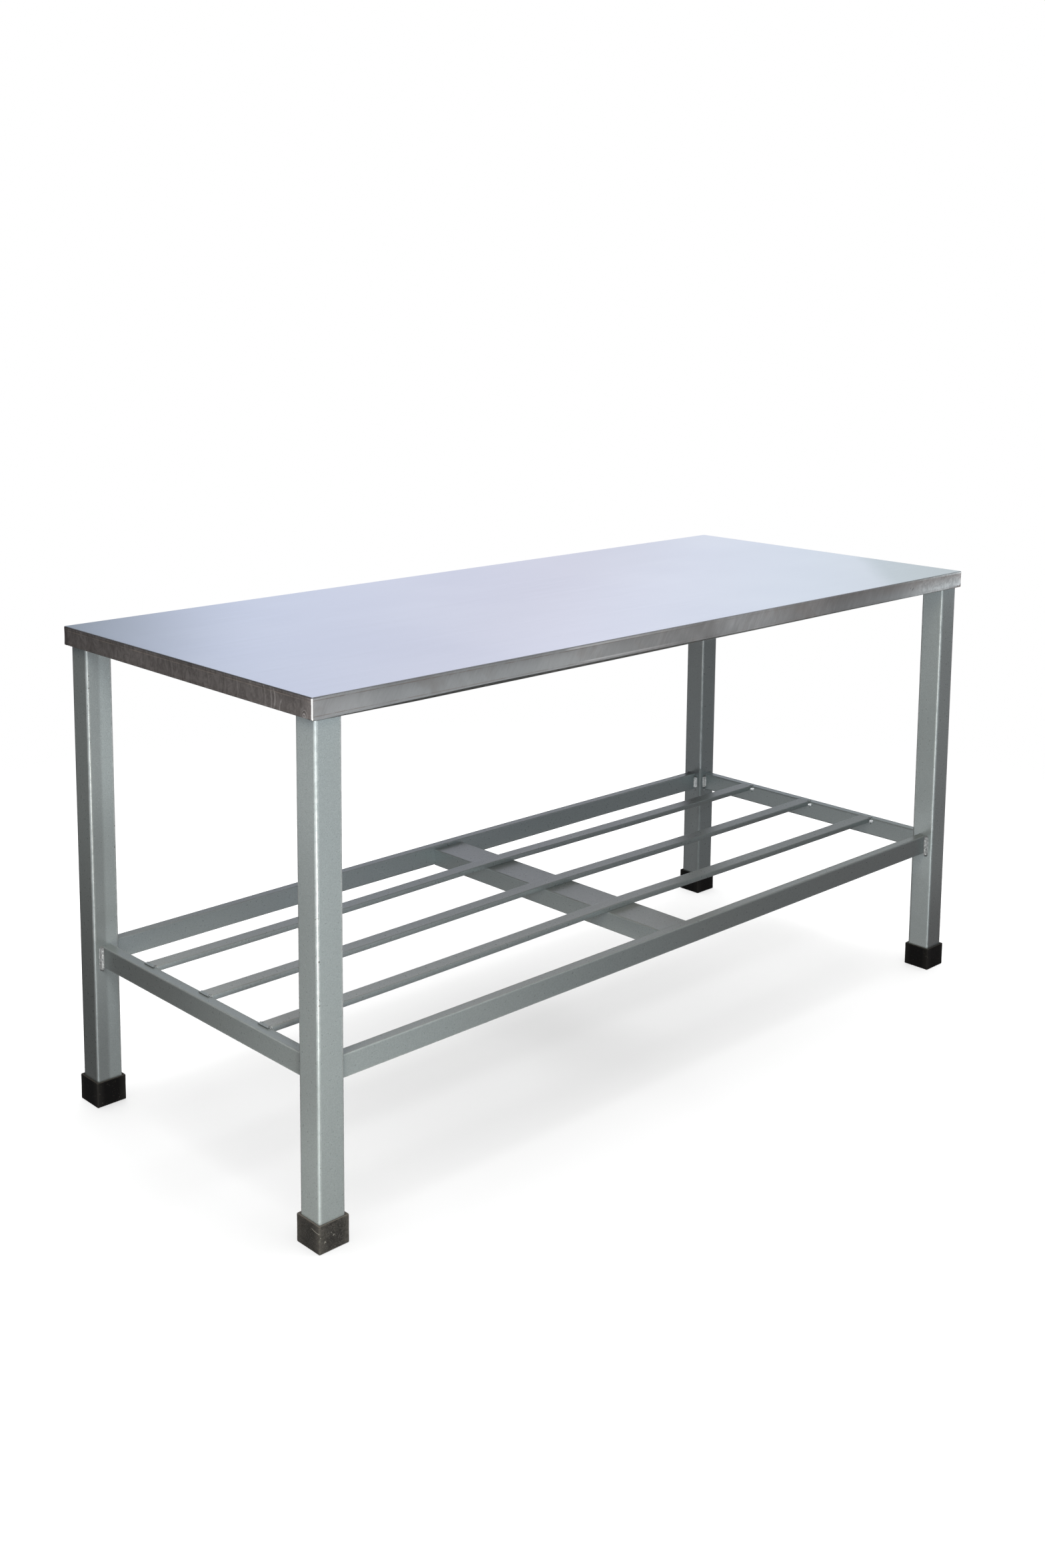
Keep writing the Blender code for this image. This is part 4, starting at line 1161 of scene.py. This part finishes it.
# ------------------------------------------------------------------ foot caps
def foot(tag, seed):
    lo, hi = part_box("foot_" + tag)
    leg_lo, leg_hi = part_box("leg_" + tag)
    cx, cy = (lo.x + hi.x) / 2, (lo.y + hi.y) / 2
    half = (hi.x - lo.x) / 2
    inner = (leg_hi.x - leg_lo.x) / 2 + 0.00025
    high = hi.z
    rows = [(half - 0.0016, 0.0012, 0.0), (half - 0.0005, 0.0016, 0.0004),
            (half - 0.0001, 0.0019, 0.0014), (half, 0.0020, 0.0035)]
    for part in (0.2, 0.4, 0.6, 0.8):
        rows.append((half - 0.0001 * math.sin(math.pi * part), 0.0020,
                     0.0035 + (high - 0.0060) * part))
    rows += [(half, 0.0020, high - 0.0025), (half - 0.0001, 0.0020, high - 0.0011),
             (half - 0.0005, 0.0018, high - 0.0003), (half - 0.0012, 0.0016, high),
             (inner + 0.0012, 0.0030, high - 0.0002), (inner + 0.0003, 0.0032, high - 0.0007),
             (inner, 0.0034, high - 0.0020), (inner, 0.0034, 0.0042)]
    bm = bmesh.new()
    layer = bm.verts.layers.float.new("edge")
    rings = []
    for h, r, z in rows:
        ring = []
        for px, py, e in tube_section(h, h, r, 4, 0.00022 if 0.002 < z < high - 0.002 else 0.0,
                                      0.0014):
            q = Vector((cx + px, cy + py, z))
            out = Vector((px, py, 0)).normalized()
            dent = noise.noise(q * 45 + Vector((seed, 0, 0))) * 0.00018
            dent += noise.noise(q * 140 + Vector((0, seed, 0))) * 0.00009
            q -= out * max(0.0, dent) * (1.0 if h > inner + 0.002 else 0.0)
            v = bm.verts.new(q)
            v[layer] = e if 0.001 < z < high - 0.0002 else 0.6
            ring.append(v)
        rings.append(ring)
    m = len(rings[0])
    for a, b in zip(rings, rings[1:]):
        for j in range(m):
            k = (j + 1) % m
            bm.faces.new((a[j], a[k], b[k], b[j]))
    bm.faces.new(rings[0])
    bm.faces.new(rings[-1])
    return finish_piece("foot_shell_" + tag, bm, PLASTIC, ("foot_" + tag,), 50)


for n, tag in enumerate(LEGS):
    foot(tag, 3.3 * n + 1.0)

# ------------------------------------------------------------------ carried-over nodes
for name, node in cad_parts.items():
    if node.hide_render:
        continue
    material = BOARD if name == "core_board" else ZINC if name.startswith("board_screw") \
        else PAINT
    node.data.materials.clear()
    node.data.materials.append(material)

# ------------------------------------------------------------------ studio
floor_bm = bmesh.new()
rings = []
for k, r in enumerate((0.0, 0.5, 1.0, 2.0, 3.5, 5.0, 7.0, 9.5, 12.0)):
    if r == 0.0:
        rings.append([floor_bm.verts.new((0, 0, -0.0002))])
        continue
    rings.append([floor_bm.verts.new((r * math.cos(2 * math.pi * i / 64),
                                      r * math.sin(2 * math.pi * i / 64), -0.0002))
                  for i in range(64)])
for i in range(64):
    floor_bm.faces.new((rings[0][0], rings[1][i], rings[1][(i + 1) % 64]))
for a, b in zip(rings[1:], rings[2:]):
    for i in range(64):
        j = (i + 1) % 64
        floor_bm.faces.new((a[i], b[i], b[j], a[j]))
floor_mesh = bpy.data.meshes.new("studio_floor")
floor_bm.to_mesh(floor_mesh)
floor_bm.free()
floor_mesh.shade_smooth()
floor = bpy.data.objects.new("studio_floor", floor_mesh)
scene.collection.objects.link(floor)
# the table's light comes from the room and the softboxes alone; the floor only takes the
# table's shadow from a light of its own
floor.visible_glossy = False
floor.visible_diffuse = False
floor.visible_shadow = False

g = Graph("studio_floor")
g.set(Roughness=0.9, Specular_IOR_Level=0.0)
g.link(g.mix(g.noise(1.5, 2.0), (0.84, 0.84, 0.84), (0.86, 0.86, 0.86)),
       g.bsdf.inputs["Base Color"])
away = g.math("SQRT", g.math("ADD", g.math("MULTIPLY", g.x, g.x),
                             g.math("MULTIPLY", g.y, g.y)))
clear = g.add("ShaderNodeBsdfTransparent")
blend = g.add("ShaderNodeMixShader")
g.link(g.range(away, 1.0, 2.6, 0.62, 1.0), blend.inputs[0])
g.link(g.bsdf.outputs[0], blend.inputs[1])
g.link(clear.outputs[0], blend.inputs[2])
g.link(blend.outputs[0], g.out.inputs["Surface"])
floor_mesh.materials.append(g.mat)

FLOOR_ONLY = bpy.data.collections.new("floor_only")
FLOOR_ONLY.objects.link(floor)
NOT_FLOOR = bpy.data.collections.new("not_floor")
NOT_FLOOR.objects.link(floor)
NOT_FLOOR.collection_objects[0].light_linking.link_state = "EXCLUDE"

# world: what the camera sees is even and white; what lights the table is a studio with a
# lavender backdrop behind it, a bright sweep in front of it and darker walls elsewhere
world = bpy.data.worlds.new("studio")
scene.world = world
world.use_nodes = True
wt = world.node_tree
wt.nodes.clear()


def wnode(kind, **props):
    node = wt.nodes.new(kind)
    for key, value in props.items():
        setattr(node, key, value)
    return node


def wmath(op, a, b=0.0):
    node = wnode("ShaderNodeMath", operation=op)
    for value, socket in zip((a, b), node.inputs):
        if isinstance(value, bpy.types.NodeSocket):
            wt.links.new(value, socket)
        else:
            socket.default_value = value
    return node.outputs[0]


w_coord = wnode("ShaderNodeTexCoord")
w_xyz = wnode("ShaderNodeSeparateXYZ")
wt.links.new(w_coord.outputs["Generated"], w_xyz.inputs[0])
angle = wmath("ARCTAN2", w_xyz.outputs[0], w_xyz.outputs[1])      # 0 along +Y, +90 along +X
angle = wmath("FRACT", wmath("ADD", wmath("DIVIDE", angle, 2 * math.pi), 1.0))
height = w_xyz.outputs[2]


def around(stops):
    """A colour that changes with the compass direction; stops are (degrees, colour)."""
    node = wnode("ShaderNodeValToRGB")
    wt.links.new(angle, node.inputs[0])
    node.color_ramp.interpolation = "LINEAR"
    stops = sorted(stops)
    (a0, c0), (a1, c1) = stops[-1], stops[0]
    t = (360.0 - a0) / (360.0 - a0 + a1) if a1 > 0 else 1.0
    seam = tuple(u + (v - u) * t for u, v in zip(c0, c1))
    if a1 > 0:
        stops = [(0.0, seam)] + stops
    stops = stops + [(360.0, seam if a1 > 0 else c1)]
    elements = node.color_ramp.elements
    while len(elements) < len(stops):
        elements.new(0.5)
    for element, (deg, rgb) in zip(elements, stops):
        element.position = deg / 360.0
    for element, (deg, rgb) in zip(elements, stops):
        element.color = (*rgb, 1.0)
    return node.outputs[0]


def between(z0, z1, z2, z3):
    """1 between the heights z1 and z2, falling to 0 at z0 and z3."""
    up = wmath("DIVIDE", wmath("SUBTRACT", height, z0), z1 - z0)
    down = wmath("DIVIDE", wmath("SUBTRACT", z3, height), z3 - z2)
    return wmath("MAXIMUM", wmath("MINIMUM", wmath("MINIMUM", up, down), 1.0), 0.0)


WALLS = [
    (0, (0.000, 0.000, 0.000)), (15, (0.434, 0.414, 0.424)), (28, (0.239, 0.285, 0.322)),
    (34, (0.783, 0.841, 1.000)), (45, (0.868, 0.868, 0.983)), (54, (0.827, 0.888, 0.961)),
    (62, (0.627, 0.654, 0.614)), (80, (0.910, 0.905, 0.910)), (105, (0.327, 0.224, 0.204)),
    (130, (0.000, 0.000, 0.000)), (150, (0.392, 0.384, 0.411)), (175, (0.000, 0.000, 0.000)),
    (200, (0.000, 0.000, 0.000)), (223, (0.000, 0.000, 0.000)), (246, (0.000, 0.000, 0.000)),
    (270, (0.000, 0.000, 0.000)), (290, (0.000, 0.000, 0.000)), (310, (0.322, 0.285, 0.284)),
    (328, (0.000, 0.000, 0.000)), (345, (0.000, 0.000, 0.000)),
]
UPPER = [
    (45, (0.100, 0.100, 0.100)), (100, (0.150, 0.150, 0.150)), (118, (0.360, 0.360, 0.360)),
    (134, (0.360, 0.360, 0.360)), (139, (0.090, 0.090, 0.090)), (150, (0.050, 0.050, 0.050)),
    (225, (0.050, 0.050, 0.050)), (280, (0.050, 0.050, 0.050)), (300, (0.340, 0.340, 0.340)),
    (316, (0.340, 0.340, 0.340)), (322, (0.070, 0.070, 0.070)), (345, (0.070, 0.070, 0.070)),
]
SWEEP = [
    (103.5, (0.000, 0.000, 0.000)), (115, (0.220, 0.224, 0.229)), (125, (0.220, 0.224, 0.229)),
    (133, (0.167, 0.170, 0.174)), (136, (0.110, 0.112, 0.114)), (136.5, (0.116, 0.118, 0.120)),
    (142, (0.289, 0.294, 0.300)), (150, (0.440, 0.449, 0.458)), (187.5, (0.440, 0.449, 0.458)),
    (190, (0.696, 0.709, 0.723)), (204, (1.687, 1.720, 1.754)), (210, (2.300, 2.346, 2.392)),
    (245, (2.300, 2.346, 2.392)), (250, (1.789, 1.825, 1.860)), (267.5, (0.787, 0.803, 0.819)),
    (270, (0.900, 0.918, 0.936)), (300, (0.900, 0.918, 0.936)), (303.5, (0.742, 0.757, 0.772)),
    (315, (0.295, 0.301, 0.307)), (320, (0.070, 0.071, 0.073)), (321, (0.070, 0.071, 0.073)),
    (322, (0.078, 0.079, 0.081)), (330, (0.091, 0.093, 0.095)), (333.5, (0.070, 0.071, 0.073)),
    (335, (0.070, 0.071, 0.073)), (344, (0.000, 0.000, 0.000)),
]
GLOSS_HIGH = [
    (12, (0.140, 0.144, 0.151)), (25, (0.340, 0.350, 0.367)), (68, (0.340, 0.350, 0.367)),
    (92, (0.060, 0.062, 0.065)), (102, (0.000, 0.000, 0.000)), (152, (0.000, 0.000, 0.000)),
    (176, (0.420, 0.433, 0.454)), (270, (0.420, 0.433, 0.454)), (290, (0.000, 0.000, 0.000)),
    (350, (0.000, 0.000, 0.000)),
]
GLOSS_LOW = [
    (150, (0.000, 0.000, 0.000)), (178, (0.420, 0.433, 0.454)), (268, (0.420, 0.433, 0.454)),
    (288, (0.000, 0.000, 0.000)),
]
GLOSS_TOP = (0.420, 0.430, 0.450)
CEILING = (0.030, 0.030, 0.030)
GROUND = (0.120, 0.120, 0.118)


def glow(colour, amount):
    node = wnode("ShaderNodeBackground")
    if isinstance(colour, tuple):
        node.inputs["Color"].default_value = (*colour, 1.0)
    else:
        wt.links.new(colour, node.inputs["Color"])
    wt.links.new(amount, node.inputs["Strength"])
    return node.outputs[0]


def plus(a, b):
    node = wnode("ShaderNodeAddShader")
    wt.links.new(a, node.inputs[0])
    wt.links.new(b, node.inputs[1])
    return node.outputs[0]


room = glow(around(WALLS), between(-0.58, -0.42, 0.30, 0.45))
room = plus(room, glow(around(UPPER), between(0.30, 0.45, 0.70, 0.85)))
sweep = between(-0.60, -0.45, -0.06, 0.0)
path = wnode("ShaderNodeLightPath")
room = plus(room, glow(around(SWEEP), wmath("MULTIPLY", sweep, path.outputs["Is Glossy Ray"])))
room = plus(room, glow(CEILING, between(0.70, 0.85, 2.0, 3.0)))
room = plus(room, glow(GROUND, wmath("MULTIPLY", between(-3.0, -2.0, -0.60, -0.45),
                                     path.outputs["Is Glossy Ray"])))
# panels that only the steel mirrors, so that the sheet reads as steel from behind and above
mirrored = path.outputs["Is Glossy Ray"]
room = plus(room, glow(around(GLOSS_LOW), wmath("MULTIPLY", between(0.06, 0.20, 0.38, 0.50),
                                                mirrored)))
room = plus(room, glow(around(GLOSS_HIGH), wmath("MULTIPLY", between(0.38, 0.50, 0.78, 0.92),
                                                 mirrored)))
room = plus(room, glow(GLOSS_TOP, wmath("MULTIPLY", between(0.78, 0.92, 2.0, 3.0), mirrored)))
seen = wnode("ShaderNodeBackground")
seen.inputs["Color"].default_value = (1.0, 1.0, 1.0, 1.0)
pick = wnode("ShaderNodeMixShader")
wt.links.new(path.outputs["Is Camera Ray"], pick.inputs[0])
wt.links.new(room, pick.inputs[1])
wt.links.new(seen.outputs[0], pick.inputs[2])
wout = wnode("ShaderNodeOutputWorld")
wt.links.new(pick.outputs[0], wout.inputs["Surface"])


def area(name, location, target, size, power, colour=(1, 1, 1), glossy=True, link=NOT_FLOOR):
    data = bpy.data.lights.new(name, "AREA")
    data.shape = "RECTANGLE"
    data.size, data.size_y = size
    data.energy = power
    data.color = colour
    lamp = bpy.data.objects.new(name, data)
    lamp.location = location
    lamp.rotation_euler = (Vector(target) - Vector(location)).to_track_quat(
        "-Z", "Y").to_euler()
    lamp.visible_glossy = glossy
    lamp.light_linking.receiver_collection = link
    scene.collection.objects.link(lamp)
    return lamp


area("near_softbox", (-1.3, -1.6, 1.3), (-0.86, -0.37, 0.4), (0.5, 0.5), 9.8, (0.853, 0.932, 1.0),
     glossy=False)
area("top_left_softbox", (-1.8, -1.2, 2.6), (-0.5, 0, 0), (1.5, 1.5), 25.7, (1.0, 0.888, 0.747),
     glossy=False)
area("left_softbox", (-1.9, -0.9, 1.0), (-0.86, 0, 0.5), (0.6, 0.6), 2.4, (0.775, 0.825, 1.0),
     glossy=False)
area("front_right_softbox", (0.9, -2.0, 0.6), (0.86, 0, 0.4), (0.7, 0.7), 1.1, (0.932, 0.973, 1.0))
area("right_side_softbox", (2.3, -1.0, 1.0), (0.8, 0, 0.4), (0.8, 0.8), 2.2, (0.818, 0.932, 1.0))
area("back_softbox", (-0.8, 1.9, 0.9), (-0.6, 0, 0.4), (0.8, 0.8), 0.3, (1.0, 0.577, 1.0))
area("floor_softbox", (-1.45, -1.1, 0.2), (-0.86, -0.37, 0.2), (0.4, 0.3), 4.9, (1.0, 0.945, 0.835))
area("floor_light", (0.3, 0.3, 5.0), (0.0, 0.0, 0.0), (7.0, 7.0), 900, glossy=False,
     link=FLOOR_ONLY)

# ------------------------------------------------------------------ camera
F_PX, CX_PX, CY_PX = 2605.2, 784.0, 804.8       # in the photograph's 1568 x 2353 pixels
yaw, pitch, roll = math.radians(43.8463), math.radians(-8.2387), math.radians(0.4700)
forward = Vector((math.sin(yaw) * math.cos(pitch), math.cos(yaw) * math.cos(pitch),
                  math.sin(pitch)))
right = Vector((math.cos(yaw), -math.sin(yaw), 0))
upward = right.cross(forward)
cam_x = right * math.cos(roll) + upward * math.sin(roll)
cam_y = -right * math.sin(roll) + upward * math.cos(roll)
cam_data = bpy.data.cameras.new("photo_camera")
cam_data.sensor_width = 36.0
cam_data.lens = F_PX / 2353 * 36.0
cam_data.shift_x = (784.0 - CX_PX) / 2353
cam_data.shift_y = (CY_PX - 1176.5) / 2353
camera = bpy.data.objects.new("photo_camera", cam_data)
matrix = Matrix((cam_x, cam_y, -forward)).transposed().to_4x4()
matrix.translation = Vector((-2.45393, -2.45169, 1.53852))
camera.matrix_world = matrix
scene.collection.objects.link(camera)
scene.camera = camera

scene.view_settings.view_transform = "Standard"
scene.view_settings.look = "None"
